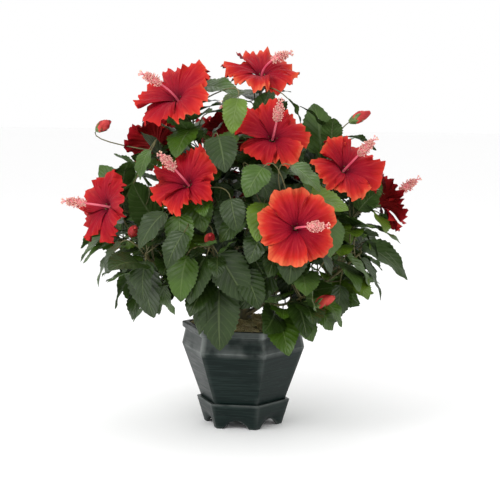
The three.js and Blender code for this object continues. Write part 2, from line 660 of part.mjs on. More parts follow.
addPart('planter', buildPlanter(), COLOURS.planter);
addPart('planter_foot', buildFoot(), COLOURS.planter);
addPart('moss_fill', buildMoss(), COLOURS.moss);
addPart('main_stem', buildStem(), COLOURS.stem);

const stemSeat = buildStem(GAP);
for (const mass of masses) {
  const bough = limb(mass.bough, taper(BOUGH.rootRadius, BOUGH.tipRadius), 5, 5);
  addPart(`bough_${mass.name}`, oneBody(bough.subtract(stemSeat)), COLOURS.stem);
}
for (const mass of masses) addPart(`spray_${mass.name}`, buildMass(mass), COLOURS.foliage);

export default crown;
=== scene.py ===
"""Looks of a silk hibiscus bush in a six-sided planter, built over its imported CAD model.

The crown grows here by the same seeded rule as in the part's source, in millimetres, and is then
carried to finer twigs and leaves within the same reach. Meshes are made in metres.
"""

import math

import bpy
import numpy as np
from mathutils import Matrix


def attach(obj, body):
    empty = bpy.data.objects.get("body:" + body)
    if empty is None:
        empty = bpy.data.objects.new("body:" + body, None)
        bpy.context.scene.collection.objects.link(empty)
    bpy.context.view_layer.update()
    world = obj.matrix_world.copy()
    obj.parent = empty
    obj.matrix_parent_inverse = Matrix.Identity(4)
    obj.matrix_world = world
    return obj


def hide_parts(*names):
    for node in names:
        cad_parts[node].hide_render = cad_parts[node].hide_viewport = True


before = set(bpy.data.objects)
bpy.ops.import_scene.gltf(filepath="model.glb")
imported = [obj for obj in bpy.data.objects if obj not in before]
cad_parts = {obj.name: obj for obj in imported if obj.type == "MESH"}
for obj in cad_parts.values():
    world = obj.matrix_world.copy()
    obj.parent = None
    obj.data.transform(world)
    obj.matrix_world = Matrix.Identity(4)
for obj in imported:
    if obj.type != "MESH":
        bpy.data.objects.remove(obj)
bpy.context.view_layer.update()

bl_info = {
    "name": "Silk Hibiscus Bush",
    "version": (1, 0, 0),
    "blender": (4, 5, 0),
    "location": "3D View > Sidebar > Hibiscus",
    "description": "Builds the leaves, blooms, stems, moss and planter of a silk hibiscus bush",
    "category": "Object",
}

DEGREE = math.pi / 180
MM = 0.001
# Space between neighbouring solids, as in the part's source
GAP = 0.3

# Planter: radii from the axis to a corner of the hexagon
SIDES = 6
SIDE_TURN, HALF_SIDE = 2 * math.pi / SIDES, math.pi / SIDES
FRONT = -math.pi / 2
FLAT_TO_CORNER = math.cos(HALF_SIDE)
FOOT = dict(height=38, base_radius=58.5, top_radius=70, wall=4.5, plate=4, plate_top=26)
ARCH = dict(width=38, height=12)
POT = dict(
    waist_radius=64, waist_height=40, shoulder_radius=92, shoulder_height=116.5,
    neck_radius=87, neck_height=138, lip_radius=91.5, lip_height=141, height=149, wall=4.5,
)
MOSS = dict(edge_height=143, crown_height=151)

# Stems
STEM = dict(flare_radius=17, root_radius=11.5, tip_radius=9, height=63, flare_height=14, lean=3)
BOUGH = dict(root_radius=2.5, tip_radius=2, lowest_root=162, highest_root=207, inset=0.6, rise=12,
             start=24, end=20, samples=12)
SHOOT = dict(root_radius=1.9, tip_radius=1.4, arriving=20, start=0.4, end=0.35, samples=14)

# Crown: azimuth 0 is its best side, turned a little from the planter's front face
FORK_HEIGHT = 190
CROWN_TURN = 10.9
MASS_INNER_REACH = 72
CROWN_REACH = 335
SPACE_MARGIN = 0.5
# How a leaf grows. One that doesn't fit is tried again, smaller, and shifted or turned
LEAF = dict(
    curl=38, fold=14, petiole=22, shortest_petiole=6, hang=0.6, clearance=7,
    widest=0.5, point=1, ordinary=(60, 88), ratio=(0.62, 0.8), attempts=18, outer_sway=0.4,
    bend=0.45, shrink=0.03, shift=0.05, next_turn=50, turn_spread=60, sink=0.25,
    outward=0.8, upward=0.5, limb_share=0.6, spread=(0.1, 0.92), forward=(0.4, 1.6),
)
# Where along a twig its room is tested: against leaves and blooms, and against guarded views
TWIG_TESTS = (0.55, 0.8)
VIEW_TESTS = np.linspace(0.1, 0.95, 12)
# Where a twig may spring from its shoot, as shares of the shoot's length
NODES = dict(step=0.04, last=0.97)
FINE = dict(clearance=4.6, lengths=(50, 84), inner_reach=46, seed=500)
# Leaves that hang down in front of the crown: the mass, then azimuth, rise and reach of the tip,
# length, width as a share of length, and how far the leaf leans sideways
HANGING = [
    ("front_right", (-1, 42, 253, 52, 0.86), 0.2), ("front_right", (13, 42, 233, 64, 0.74), 0.7),
    ("front_right", (33, 41, 262, 56, 0.78), 0.3), ("front_right", (-19, 31, 194, 64, 0.8), -0.6),
    ("lower_right", (39, 23, 273, 56, 0.66), 0.3), ("lower_front", (14, 24, 203, 54, 0.7), 0.9),
    ("lower_right", (26, 14, 167, 65, 0.66), 0.6), ("lower_left", (-31, 18, 211, 56, 0.68), -1.4),
    ("lower_front", (-15, 8, 216, 56, 0.74), -0.9), ("middle_left", (-11, 28, 140, 60, 0.7), 0),
    ("lower_right", (42, 9, 213, 54, 0.74), 0.4), ("lower_front", (3, 11, 210, 70, 0.7), 0.2),
    ("right", (52, 23, 289, 53, 0.6), 0.9), ("centre", (-12, 54, 279, 50, 0.7), -0.6),
    ("lower_left", (-42, 23, 230, 64, 0.7), -0.6), ("centre", (28, 48, 247, 50, 0.74), -0.3),
    ("right", (35, 20, 222, 58, 0.7), 0.1), ("middle_left", (-1, 33, 208, 50, 0.74), -0.2),
    ("lower_front", (10, 1, 152, 61, 0.7), 0.2), ("lower_right", (-2, 1, 130, 66, 0.74), -0.5),
    ("right_low", (33, 4, 106, 66, 0.72), 0.5), ("right_low", (44, -8, 116, 53, 0.7), -0.6),
    ("lower_front", (18, 14, 126, 62, 0.72), 0.3), ("lower_left", (-64, 11, 221, 56, 0.6), -0.2),
    ("lower_front", (-30, 5, 172, 66, 0.72), 0.2), ("upper_left", (-6, 62, 279, 53, 0.7), -0.9),
    ("centre", (18, 70, 296, 45, 0.7), -0.9), ("right", (68, 45, 224, 45, 0.7), 0.4),
    ("lower_right", (67, 5, 200, 70, 0.5), 0.2), ("top", (66, 70, 267, 45, 0.6), 0.9),
    ("lower_left", (-46, 3, 190, 60, 0.74), -0.1), ("centre", (-29, 51, 214, 52, 0.7), 0.1),
    ("left", (-46, 43, 268, 45, 0.7), -0.9), ("middle_left", (-7, 50, 257, 60, 0.8), -0.3),
    ("centre", (-21, 60, 225, 60, 0.8), -0.3), ("lower_front", (-11, 34, 180, 70, 0.76), -0.3),
    ("front_right", (6, 29, 215, 60, 0.7), 0.2), ("lower_front", (19, 5, 105, 47, 0.7), 0.2),
    ("lower_left", (-27, 24, 197, 60, 0.7), -0.6), ("lower_right", (3, 22, 196, 52, 0.76), 0.2),
    ("lower_right", (38, 29, 267, 60, 0.7), 0.3),
]
# How far the leaves of this list, and the finer ones, are turned down
HANG = 1.5
FINE_HANG = 0.6
# Gaps that the finer leaves keep open, seen from the best side: how far right of the plant's axis
# and above the view's middle
SKY = [(-156, 73), (106, 135), (135, -41)]
VIEW_HEIGHT = 257
# Lines of sight that stay free: from how far to how far before a place, and the radii of the
# rings that guard them, which are a step apart
BUD_SIGHT = (0, 60, (1, 9))
BLOOM_SIGHT = (16, 90, (6, 16, 26, 36))
SKY_SIGHT = (-200, 200, (1, 9))
SIGHT_STEP = 8
BLOOM = dict(overlap=0.55, twist=4, tube_length=20, column=31, brush=24, steps=20,
             opening=(22, 98), arc=1.12)
BUD = dict(length=34, radius=6, rise=25, stalk=1.6, sunk=3)
POT_CLEARANCE = 7
GOLDEN_ANGLE = 137.5
# The generator of draws: how it spreads a seed, then its factor and its prime
SEED_FACTOR, SEED_SHIFT = 7919, 17
DRAW_FACTOR, DRAW_PRIME = 16807, 2147483647

# name, middle of its space, end of its shoot, where its bloom looks, petal length (0 without a
# bloom), petals, where its column leans, tips of its outer leaves, its bud, count of seeded leaves
MASSES = [
    ("upper_left", (-57, 70), (-57, 69, 316), (-40, 48), 62, 5, (-75, 25),
     [(-47, 82, 292, 78, 0.62), (-41, 72, 262, 88, 0.7), (-66, 62, 292, 80, 0.6)], None, 8),
    ("top", (100, 86), (105, 85, 328), (10, 66), 56, 5, (110, 12),
     [(60, 79, 320, 86, 0.68), (-60, 80, 290, 74, 0.6)], None, 7),
    ("middle_left", (-33, 50), (-31, 50, 236), (-32, 40), 52, 6, (-50, 40),
     [(-20, 36, 190, 90, 0.78), (-14, 58, 222, 84, 0.74), (-38, 31, 200, 80, 0.62),
      (-50, 60, 250, 76, 0.7), (-33, 62, 255, 80, 0.66), (-24, 30, 160, 80, 0.74)], None, 10),
    ("centre", (22, 66), (25, 67, 262), (10, 38), 54, 5, (20, 62),
     [(4, 61, 276, 66, 0.9), (16, 50, 205, 86, 0.74), (50, 68, 280, 80, 0.72),
      (-2, 52, 210, 84, 0.72), (30, 52, 190, 76, 0.7)], None, 11),
    ("left", (-76, 38), (-76, 34, 246), (-52, 14), 54, 5, (-98, 4),
     [(-66, 26, 222, 80, 0.66), (-95, 42, 284, 88, 0.55), (-70, 46, 240, 78, 0.72),
      (-80, 14, 222, 84, 0.62)], (-62, 31, 204, 8), 6),
    ("front_right", (24, 33), (22, 32, 232), (6, 12), 56, 5, (60, 5),
     [(19, 13, 200, 88, 0.74), (4, 28, 190, 86, 0.72), (36, 47, 218, 80, 0.7),
      (44, 22, 200, 80, 0.66), (10, 44, 186, 80, 0.74)], None, 11),
    ("right", (58, 46), (59, 49, 260), (32, 36), 54, 5, (75, 45),
     [(80, 31, 276, 90, 0.62), (53, 27, 226, 92, 0.64), (50, 60, 262, 72, 0.6)], None, 8),
    ("upper_right", (102, 64), (88, 60, 272), None, 0, 0, None,
     [(80, 74, 292, 66, 0.4), (96, 71, 309, 70, 0.36), (82, 62, 306, 64, 0.6),
      (84, 55, 286, 66, 0.42)], (90, 57, 312, 98), 6),
    ("far_right", (98, 30), (98, 33, 250), (112, 20), 52, 5, (92, 36),
     [(73, 23, 240, 84, 0.66), (90, 23, 262, 78, 0.66), (84, 14, 254, 76, 0.5)], None, 7),
    ("back_left", (-118, 54), (-116, 57, 262), (-165, 25), 50, 5, (-160, 40),
     [(-94, 58, 286, 80, 0.5), (-96, 62, 318, 72, 0.34), (-140, 45, 262, 80, 0.7)],
     (-99, 50, 322, 45), 6),
    ("lower_left", (-54, 8), (-54, 24, 190), None, 0, 0, None,
     [(-52, -6, 160, 94, 0.8), (-43, 11, 178, 90, 0.5), (-49, -9, 130, 56, 0.5),
      (-71, 20, 198, 70, 0.5)], None, 6),
    ("lower_front", (-14, 16), (-17, 34, 184), None, 0, 0, None,
     [(-14, -24, 143, 90, 0.68), (-26, 4, 168, 72, 0.8), (-28, -17, 140, 84, 0.42),
      (2, 6, 150, 78, 0.72), (-6, 30, 182, 80, 0.72), (-4, 22, 140, 62, 0.7)],
     (-17, 34, 184, 0), 9),
    ("lower_right", (34, -2), (38, 8, 150), None, 0, 0, None,
     [(54, 13, 182, 88, 0.66), (50, -11, 170, 50, 0.86), (23, -24, 145, 78, 0.6),
      (14, -10, 134, 76, 0.7), (22, 8, 160, 76, 0.66), (38, -4, 160, 80, 0.7)],
     (43, 4, 168, 75), 9),
    ("right_low", (74, 6), (70, 22, 195), None, 0, 0, None,
     [(76, 0, 205, 76, 0.4), (66, 0, 184, 80, 0.34), (72, 1, 196, 78, 0.4),
      (83, 17, 250, 76, 0.44), (60, -12, 150, 60, 0.6)], None, 6),
    ("side_left", (-100, 10), (-96, 24, 205), None, 0, 0, None,
     [(-84, 4, 212, 82, 0.6), (-110, 2, 205, 86, 0.66), (-100, -8, 160, 76, 0.6)], None, 5),
    ("back_top", (-160, 70), (-168, 64, 252), (178, 42), 52, 5, (-160, 50),
     [(170, 60, 262, 84, 0.66), (-130, 66, 275, 80, 0.6)], None, 5),
    ("back_right", (138, 46), (138, 46, 240), (144, 34), 52, 5, (120, 40),
     [(120, 36, 262, 86, 0.64), (160, 38, 246, 84, 0.66), (120, 58, 275, 76, 0.6)], None, 6),
    ("back_centre", (-172, 36), (-172, 36, 212), (-175, 18), 55, 5, (-150, 30),
     [(-155, 26, 228, 86, 0.64), (170, 20, 226, 88, 0.7), (-172, 54, 252, 78, 0.6)], None, 6),
    ("back_low_left", (-136, 14), (-134, 20, 205), None, 0, 0, None,
     [(-130, 2, 200, 86, 0.7), (-150, 6, 196, 84, 0.6), (-118, 22, 232, 80, 0.6)],
     (-134, 28, 218, -130), 5),
    ("back_low_right", (112, 6), (112, 18, 205), None, 0, 0, None,
     [(112, -4, 196, 88, 0.66), (128, 8, 214, 80, 0.6), (98, 4, 214, 80, 0.6)], None, 5),
    ("back_low", (164, 2), (166, 16, 165), None, 0, 0, None,
     [(166, -12, 170, 88, 0.7), (148, -4, 180, 84, 0.66), (-174, -2, 176, 80, 0.6)], None, 4),
]

UP = np.array((0.0, 0.0, 1.0))
FORK = np.array((0.0, 0.0, FORK_HEIGHT))


# ---- Growth rule, in millimetres

def towards(azimuth, rise):
    """Unit vector towards an azimuth and rise of the crown, in degrees."""
    turn, flat = (azimuth + CROWN_TURN) * DEGREE, math.cos(rise * DEGREE)
    return np.array((math.sin(turn) * flat, -math.cos(turn) * flat, math.sin(rise * DEGREE)))


def polar(azimuth, rise, reach):
    """The place at a reach from the fork of the boughs, towards an azimuth and rise."""
    return towards(azimuth, rise) * reach + FORK


def mix(a, b, t):
    """The value that lies a share t of the way from a to b."""
    return a + (b - a) * t


def unit(v):
    """The vectors of the last axis, each one long."""
    return v / np.maximum(np.linalg.norm(v, axis=-1, keepdims=True), 1e-12)


def seeded(seed):
    """Deterministic numbers between 0 and 1, the same as in the part's source: a whole number is
    multiplied by a factor modulo a prime for each draw."""
    state = [seed * SEED_FACTOR + SEED_SHIFT]

    def draw():
        state[0] = (state[0] * DRAW_FACTOR) % DRAW_PRIME
        return state[0] / DRAW_PRIME

    return draw


def square_to(axis):
    """A unit vector square to an axis: level, unless the axis is nearly upright."""
    return unit(np.cross(axis, UP if abs(axis[2]) < 0.9 else np.array((1.0, 0, 0))))


def around(right, up, turn):
    """Unit vectors at angles round an axis, by two unit vectors square to it."""
    turn = np.asarray(turn)[..., None]
    return right * np.cos(turn) + up * np.sin(turn)


def bezier(points, t):
    """Places on a Bezier curve of any degree, for an array of shares t: repeated mixing."""
    t = np.asarray(t, float)[..., None]
    rows = [np.asarray(p, float) * np.ones_like(t) for p in points]
    while len(rows) > 1:
        rows = [a * (1 - t) + b * t for a, b in zip(rows, rows[1:])]
    return rows[0]


def tangent(points, share, step=0.0001):
    """The direction of a Bezier curve at a share, from the places a step to either side."""
    low, high = max(0.0, share - step), min(1.0, share + step)
    return unit(bezier(points, high) - bezier(points, low))


def outline(share):
    """Half width of a leaf as a share of its greatest: rounded base, long point."""
    widest_at = LEAF["widest"] / (LEAF["widest"] + LEAF["point"])
    greatest = widest_at ** LEAF["widest"] * (1 - widest_at) ** LEAF["point"]
    return share ** LEAF["widest"] * (1 - share) ** LEAF["point"] / greatest


class Leaf:
    """Places on a leaf, from its tip, the line and length of its chord, and the side it shows."""

    SHARES = np.array([1.0] + [s for s in (0.12, 0.3, 0.48, 0.66, 0.84) for _ in range(3)])
    EDGES = np.array([0.0] + [-1.0, 0.0, 1.0] * 5)

    def __init__(self, tip, chord, shows, length, ratio):
        self.length, self.half_width = length, length * ratio / 2
        self.curl = LEAF["curl"] * DEGREE
        normal = unit(shows - chord * shows.dot(chord))
        c, s = math.cos(self.curl / 2), math.sin(self.curl / 2)
        self.along = chord * c + normal * s
        self.normal = normal * c - chord * s
        self.side = np.cross(self.along, self.normal)
        self.base = tip - chord * (2 * s * length / self.curl)

    def at(self, share, sideways, lift=0.0, width=None):
        """The blade bends down along an arc and is folded a little along its midrib."""
        share, sideways = np.broadcast_arrays(share, sideways)
        bend = (self.curl * share)[..., None]
        reach = self.length * np.sin(bend) / self.curl
        drop = self.length * (1 - np.cos(bend)) / self.curl
        w = self.half_width * (outline(share) if width is None else width) * sideways
        fold = LEAF["fold"] * DEGREE
        rise = (np.abs(w) * math.sin(fold) + lift)[..., None]
        return (self.base + self.along * (reach + rise * np.sin(bend))
                + self.normal * (rise * np.cos(bend) - drop)
                + self.side * (w[..., None] * math.cos(fold)))

    def samples(self):
        return self.at(self.SHARES, self.EDGES)


class Bloom:
    """Places on a bloom, from its throat and the way it faces. Petals rise and bend out: their
    profile is a row of equal steps, whose angle from the axis opens from first to last."""

    def __init__(self, throat, face, size, petals, lean, spin):
        self.throat, self.face, self.size, self.petals = throat, face, size, petals
        self.lean, self.spin = lean, spin
        self.right = square_to(face)
        self.up = np.cross(face, self.right)
        self.calyx = throat - face * BLOOM["tube_length"]
        count = BLOOM["steps"]
        share = (np.arange(count) + 0.5) / count
        angle = mix(*BLOOM["opening"], 1 - (1 - share) ** 2) * DEGREE
        step = size * BLOOM["arc"] / count
        self.radii = np.concatenate(([2], 2 + np.cumsum(np.sin(angle) * step)))
        low = -BLOOM["tube_length"] * 0.7
        self.heights = np.concatenate(([low], low + np.cumsum(np.cos(angle) * step)))

    def petal(self, number, share, sideways, lift=0.0, reach=None):
        """Places on a petal, by the share of its length and how far sideways from its middle."""
        share, sideways = np.broadcast_arrays(share, sideways)
        if reach is None:
            reach = share * (1 - 0.22 * np.abs(sideways) ** 2.5)
        reach = reach * (len(self.radii) - 1)
        low = np.clip(np.floor(reach).astype(int), 0, len(self.radii) - 2)
        part = reach - low
        radius = mix(self.radii[low], self.radii[low + 1], part)
        height = mix(self.heights[low], self.heights[low + 1], part)
        turn = self.spin + (number + sideways * BLOOM["overlap"]) * 2 * math.pi / self.petals
        height = height + lift + BLOOM["twist"] * sideways * share
        return (self.throat + self.right * (radius * np.cos(turn))[..., None]
                + self.up * (radius * np.sin(turn))[..., None] + self.face * height[..., None])

    def column(self):
        """The three points of the stamen column's curve, which leans at its end."""
        start = self.throat - self.face * BLOOM["tube_length"] * 0.5
        middle = self.throat + self.face * BLOOM["column"] * 0.6
        return [start, middle, middle + self.lean * (BLOOM["column"] * 0.55 + BLOOM["brush"])]

    def samples(self):
        share = np.repeat((0.4, 0.6, 0.8, 1.0), 5)
        sideways = np.tile((-0.9, -0.45, 0.0, 0.45, 0.9), 4)
        places = [self.petal(n, share, sideways) for n in range(self.petals)]
        return np.concatenate([bezier(self.column(), (0.75, 1.0))] + places)


class Bud:
    """A closed bud: where it is, and where it points."""

    def __init__(self, place, face):
        self.place, self.face = place, face
        self.calyx = place - face * BUD["length"] / 2
        self.tip = place + face * BUD["length"] / 2


AXES = np.array([towards(*row[1]) for row in MASSES])
STEM_FOOT = MOSS["crown_height"] + GAP
# Where the crown is seen from. The finer leaves keep the view of its blooms and buds free
BEST_SIDE = towards(0, 8)


def in_own_space(places, number):
    """Whether all the places lie nearer to the mass's own axis than to any other."""
    out = places - FORK
    reach = np.linalg.norm(out, axis=1)
    if (reach < MASS_INNER_REACH).any() or (reach > CROWN_REACH).any():
        return False
    borders = np.delete(AXES[number] - AXES, number, 0)
    return bool((out @ borders.T > SPACE_MARGIN * np.linalg.norm(borders, axis=1)).all())


def clear_of_planter(places):
    """Whether all the places keep clear of the planter's sides, up to a little over its rim."""
    turns = np.arange(SIDES) * 2 * math.pi / SIDES
    flat = (places[:, :1] * np.sin(turns) - places[:, 1:2] * np.cos(turns)).max(1)
    low = places[:, 2] <= POT["height"] + POT_CLEARANCE
    near = flat <= POT["shoulder_radius"] * FLAT_TO_CORNER + POT_CLEARANCE
    return not (low & near).any()


def clear_of(places, others, distance):
    """Whether all places keep a distance from the others; only the others near them are tried."""
    if not len(others):
        return True
    middle = places.mean(0)
    reach = np.sqrt(((places - middle) ** 2).sum(1).max()) + distance
    others = others[((others - middle) ** 2).sum(1) <= reach * reach]
    gaps = ((places[:, None, :] - others[None, :, :]) ** 2).sum(2)
    return bool((gaps > distance * distance).all())


def twig_to(node, end, along):
    """A twig's curve, which springs from a node and arrives at its end along a direction."""
    return [node, end - along * LEAF["bend"] * np.linalg.norm(node - end), end]


class Mass:
    """A mass of foliage: its bough, its shoot and what grows on the shoot."""

    def __init__(self, number, row):
        (self.name, self.axis, self.end, face, size, petals, lean, self.tips, self.bud,
         self.extra) = row
        self.number, self.random = number, seeded(number + 1)
        self.leaves, self.blooms, self.buds = [], [], []
        calyx = polar(*self.end)
        arriving = towards(self.end[0], self.end[1] + SHOOT["arriving"])
        if size:
            arriving = towards(*face)
            spin = self.random() * math.pi
            self.blooms.append(Bloom(calyx, arriving, size, petals, towards(*lean), spin))
            calyx = self.blooms[0].calyx
        azimuth, rise = self.axis
        height = mix(BOUGH["lowest_root"], BOUGH["highest_root"], max(0, rise) / 90)
        lean_here = (height - STEM_FOOT) / STEM["height"] * STEM["lean"]
        root = np.array((lean_here, -lean_here, height))
        root = root + towards(azimuth, 0) * STEM["tip_radius"] * BOUGH["inset"]
        own = AXES[number]
        end = FORK + own * MASS_INNER_REACH
        rising = towards(azimuth, rise * 0.5 + BOUGH["rise"])
        self.bough = [root, root + rising * BOUGH["start"], end - own * BOUGH["end"], end]
        start = FORK + own * (MASS_INNER_REACH + GAP)
        span = np.linalg.norm(calyx - start)
        self.shoot = [start, start + own * span * SHOOT["start"],
                      calyx - arriving * span * SHOOT["end"], calyx]

    def sampled_reach(self):
        """How far from the fork its blooms and leaves reach."""
        things = self.blooms + [leaf for leaf, twig in self.leaves]
        places = np.concatenate([thing.samples() for thing in things])
        return np.linalg.norm(places - FORK, axis=1).max()

    def node_for(self, tip, wanted):
        """Where on the shoot a twig of about the usual length reaches a tip, high up if it can."""
        best, share = None, NODES["step"]
        while share < NODES["last"]:
            place = bezier(self.shoot, share)
            miss = abs(np.linalg.norm(place - tip) - wanted) - LEAF["hang"] * place[2]
            if best is None or miss < best[0]:
                best = (miss, place)
            share += NODES["step"]
        return best[1]


class Growth:
    """Grows the leaves of all masses by the seeded rule, and then the finer ones.

    It keeps the places that what has grown takes, those of the limbs, and those that are guarded
    from twigs. The finer leaves stay within the reach that each mass has before them."""

    def __init__(self):
        self.reaches, self.guarded = None, np.zeros((0, 3))
        self.masses = [Mass(number, row) for number, row in enumerate(MASSES)]
        self.blooms = [bloom for mass in self.masses for bloom in mass.blooms]
        self.taken = np.concatenate([bloom.samples() for bloom in self.blooms])
        limbs = []
        for mass in self.masses:
            limbs.append(bezier(mass.bough, np.arange(BOUGH["samples"] + 1) / BOUGH["samples"]))
            shoot = bezier(mass.shoot, np.arange(SHOOT["samples"] + 1) / SHOOT["samples"])
            limbs.append(shoot if mass.blooms else shoot[:-2])
        self.limbs = np.concatenate(limbs)
        self.grow_buds()
        for mass in self.masses:
            for tip in mass.tips:
                self.grow_outer(mass, tip)
        for turn in range(max(mass.extra for mass in self.masses)):
            for mass in self.masses:
                if turn < mass.extra:
                    self.grow_inner(mass, turn, mass.extra, mass.random, LEAF["ordinary"])

    def grow_buds(self):
        """A bud for each mass that has one, on a stalk that is sunk in it a little."""
        for mass in self.masses:
            if mass.bud:
                azimuth, rise, reach, looks = mass.bud
                bud = Bud(polar(azimuth, rise, reach), towards(looks, BUD["rise"]))
                node = mass.node_for(bud.calyx, LEAF["petiole"] * BUD["stalk"])
                end = bud.calyx + bud.face * BUD["sunk"]
                mass.buds.append((bud, twig_to(node, end, bud.face)))
                self.taken = np.concatenate((self.taken, [bud.place, bud.tip]))

    def within_reach(self, places):
        """Whether places lie inside the outline of the masses whose spaces they are in."""
        away = places - FORK
        reach = np.linalg.norm(away, axis=1)
        owner = (away @ AXES.T).argmax(1)
        return bool(((reach > FINE["inner_reach"]) & (reach < self.reaches[owner])).all())

    def grow_leaf(self, mass, tip, node, length, ratio, sway, clearance, hang=None):
        """A leaf whose tip lies at a given place, or is skipped where it wouldn't fit there.

        The sway tilts the side that it shows, and hang, where it is given, turns its blade."""
        chord, outward = unit(tip - node), tip - FORK
        if hang is not None:
            chord = unit(chord + hang)
        outward[2] = max(outward[2], 0)
        shows = unit(outward) * LEAF["outward"] + UP * LEAF["upward"] + sway
        leaf = Leaf(tip, chord, shows, length, ratio)
        twig = twig_to(node, leaf.base, leaf.along)
        places = leaf.samples()
        own = np.concatenate((places, [bezier(twig, 0.5)]))
        inside = in_own_space(own, mass.number) if self.reaches is None else self.within_reach(own)
        if not (inside and clear_of_planter(own)):
            return False
        held = np.concatenate((places, bezier(twig, TWIG_TESTS)))
        if not clear_of(held, self.taken, clearance):
            return False
        # Its tip and its root, the first four places, may come near a limb
        if not clear_of(places[4:], self.limbs, clearance * LEAF["limb_share"]):
            return False
        if not clear_of(bezier(twig, VIEW_TESTS), self.guarded, clearance):
            return False
        mass.leaves.append((leaf, twig))
        self.taken = np.concatenate((self.taken, held))
        return True

    def grow_outer(self, mass, row, clearance=LEAF["clearance"], hang=None):
        """A leaf of the outline: each new try is shorter and nearer to its space's middle."""
        azimuth, rise, reach, length, ratio = row
        tip = polar(azimuth, rise, reach)
        middle = FORK + AXES[mass.number] * reach * 0.9
        for attempt in range(LEAF["attempts"]):
            place = mix(tip, middle, LEAF["shift"] * attempt)
            wanted = length * (1 - LEAF["shrink"] * attempt)
            node = mass.node_for(place, wanted + LEAF["petiole"])
            size = min(wanted, np.linalg.norm(node - place) - LEAF["shortest_petiole"])
            sway = np.array([mass.random() - 0.5 for _ in range(3)]) * LEAF["outer_sway"]
            if self.grow_leaf(mass, place, node, size, ratio, sway, clearance, hang):
                return

    def grow_inner(self, mass, turn, count, random, lengths, clearance=LEAF["clearance"],
                   hang=None):
        """A seeded leaf: springs from the shoot a golden angle further round than the last."""
        share = mix(*LEAF["spread"], (turn + 0.5) / count)
        node = bezier(mass.shoot, share)
        along = tangent(mass.shoot, share)
        right = square_to(along)
        up = np.cross(along, right)
        length, ratio = mix(*lengths, random()), mix(*LEAF["ratio"], random())
        start = turn * GOLDEN_ANGLE + random() * LEAF["turn_spread"]
        for attempt in range(LEAF["attempts"]):
            turned = (start + attempt * LEAF["next_turn"]) * DEGREE
            size = length * (1 - LEAF["shrink"] * attempt)
            way = unit(right * math.cos(turned) + up * math.sin(turned)
                       + along * mix(*LEAF["forward"], random()) - UP * LEAF["sink"])
            tip = node + way * (size + LEAF["petiole"])
            sway = np.array([random() - 0.5 for _ in range(3)])
            if self.grow_leaf(mass, tip, node, size, ratio, sway, clearance, hang):
                return

    def guard_views(self):
        """Guards the petals and the lines of sight to the buds and blooms and through the gaps.

        Rings of eight places, a step apart, stand for a line of sight."""
        share, sideways = np.meshgrid(np.linspace(0.3, 1.0, 8), np.linspace(-1, 1, 13))
        places = [bloom.petal(number, share.ravel(), sideways.ravel())
                  for bloom in self.blooms for number in range(bloom.petals)]
        across, upwards = towards(90, 0), np.cross(BEST_SIDE, towards(90, 0))
        ring = around(across, upwards, np.arange(8) * math.pi / 4)
        lines = [(bud.place, *BUD_SIGHT) for mass in self.masses for bud, twig in mass.buds]
        lines += [(bloom.throat, *BLOOM_SIGHT) for bloom in self.blooms]
        lines += [(UP * VIEW_HEIGHT + across * x + upwards * y, *SKY_SIGHT) for x, y in SKY]
        places += [place + ring * wide + BEST_SIDE * ahead for place, first, last, radii in lines
                   for ahead in range(first, last, SIGHT_STEP) for wide in radii]
        self.guarded = np.concatenate(places)
        self.taken = np.concatenate((self.taken, self.guarded))

    def refine(self, rounds):
        """Grows the leaves that hang, and rounds of finer ones, within the reach of each mass."""
        self.guard_views()
        self.reaches = np.array([mass.sampled_reach() for mass in self.masses])
        named = {mass.name: mass for mass in self.masses}
        for name, row, side in HANGING:
            hang = towards(row[0] + 90, 0) * side - UP * HANG
            self.grow_outer(named[name], row, FINE["clearance"], hang)
        share, sideways = np.meshgrid(np.linspace(0.1, 0.97, 9), (-0.85, -0.45, 0, 0.45, 0.85))
        blades = [leaf.at(share.ravel(), sideways.ravel()) for mass in self.masses
                  for leaf, twig in mass.leaves]
        self.taken = np.concatenate([self.taken] + blades)
        draws = [seeded(FINE["seed"] + mass.number) for mass in self.masses]
        for turn in range(rounds):
            for mass, draw in zip(self.masses, draws):
                self.grow_inner(mass, turn, rounds, draw, FINE["lengths"], FINE["clearance"],
                                -UP * FINE_HANG)


GROWTH = []


def growth_of(scene):
    """The crown with its finer leaves; it is grown once and kept for the next operator."""
    if not GROWTH:
        grown = Growth()
        grown.refine(scene.hibiscus_leaves.extra)
        GROWTH.append(grown)
    return GROWTH[0]


# ---- Meshes, in millimetres until they are made

# How far a tube's end bulges, as a share of its radius
BULGE = 0.4


def srgb(red, green, blue):
    """A colour of 0 to 255 a channel as linear red, green, blue and alpha, by the sRGB curve."""
    c = np.array((red, green, blue)) / 255
    linear = np.where(c <= 0.04045, c / 12.92, ((c + 0.055) / 1.055) ** 2.4)
    return (*map(float, linear), 1.0)


def cells(grid):
    """The four corners of each cell of a grid, whose rows and columns are its last two axes."""
    return np.stack([grid[..., :-1, :-1], grid[..., 1:, :-1], grid[..., 1:, 1:],
                     grid[..., :-1, 1:]], -1)


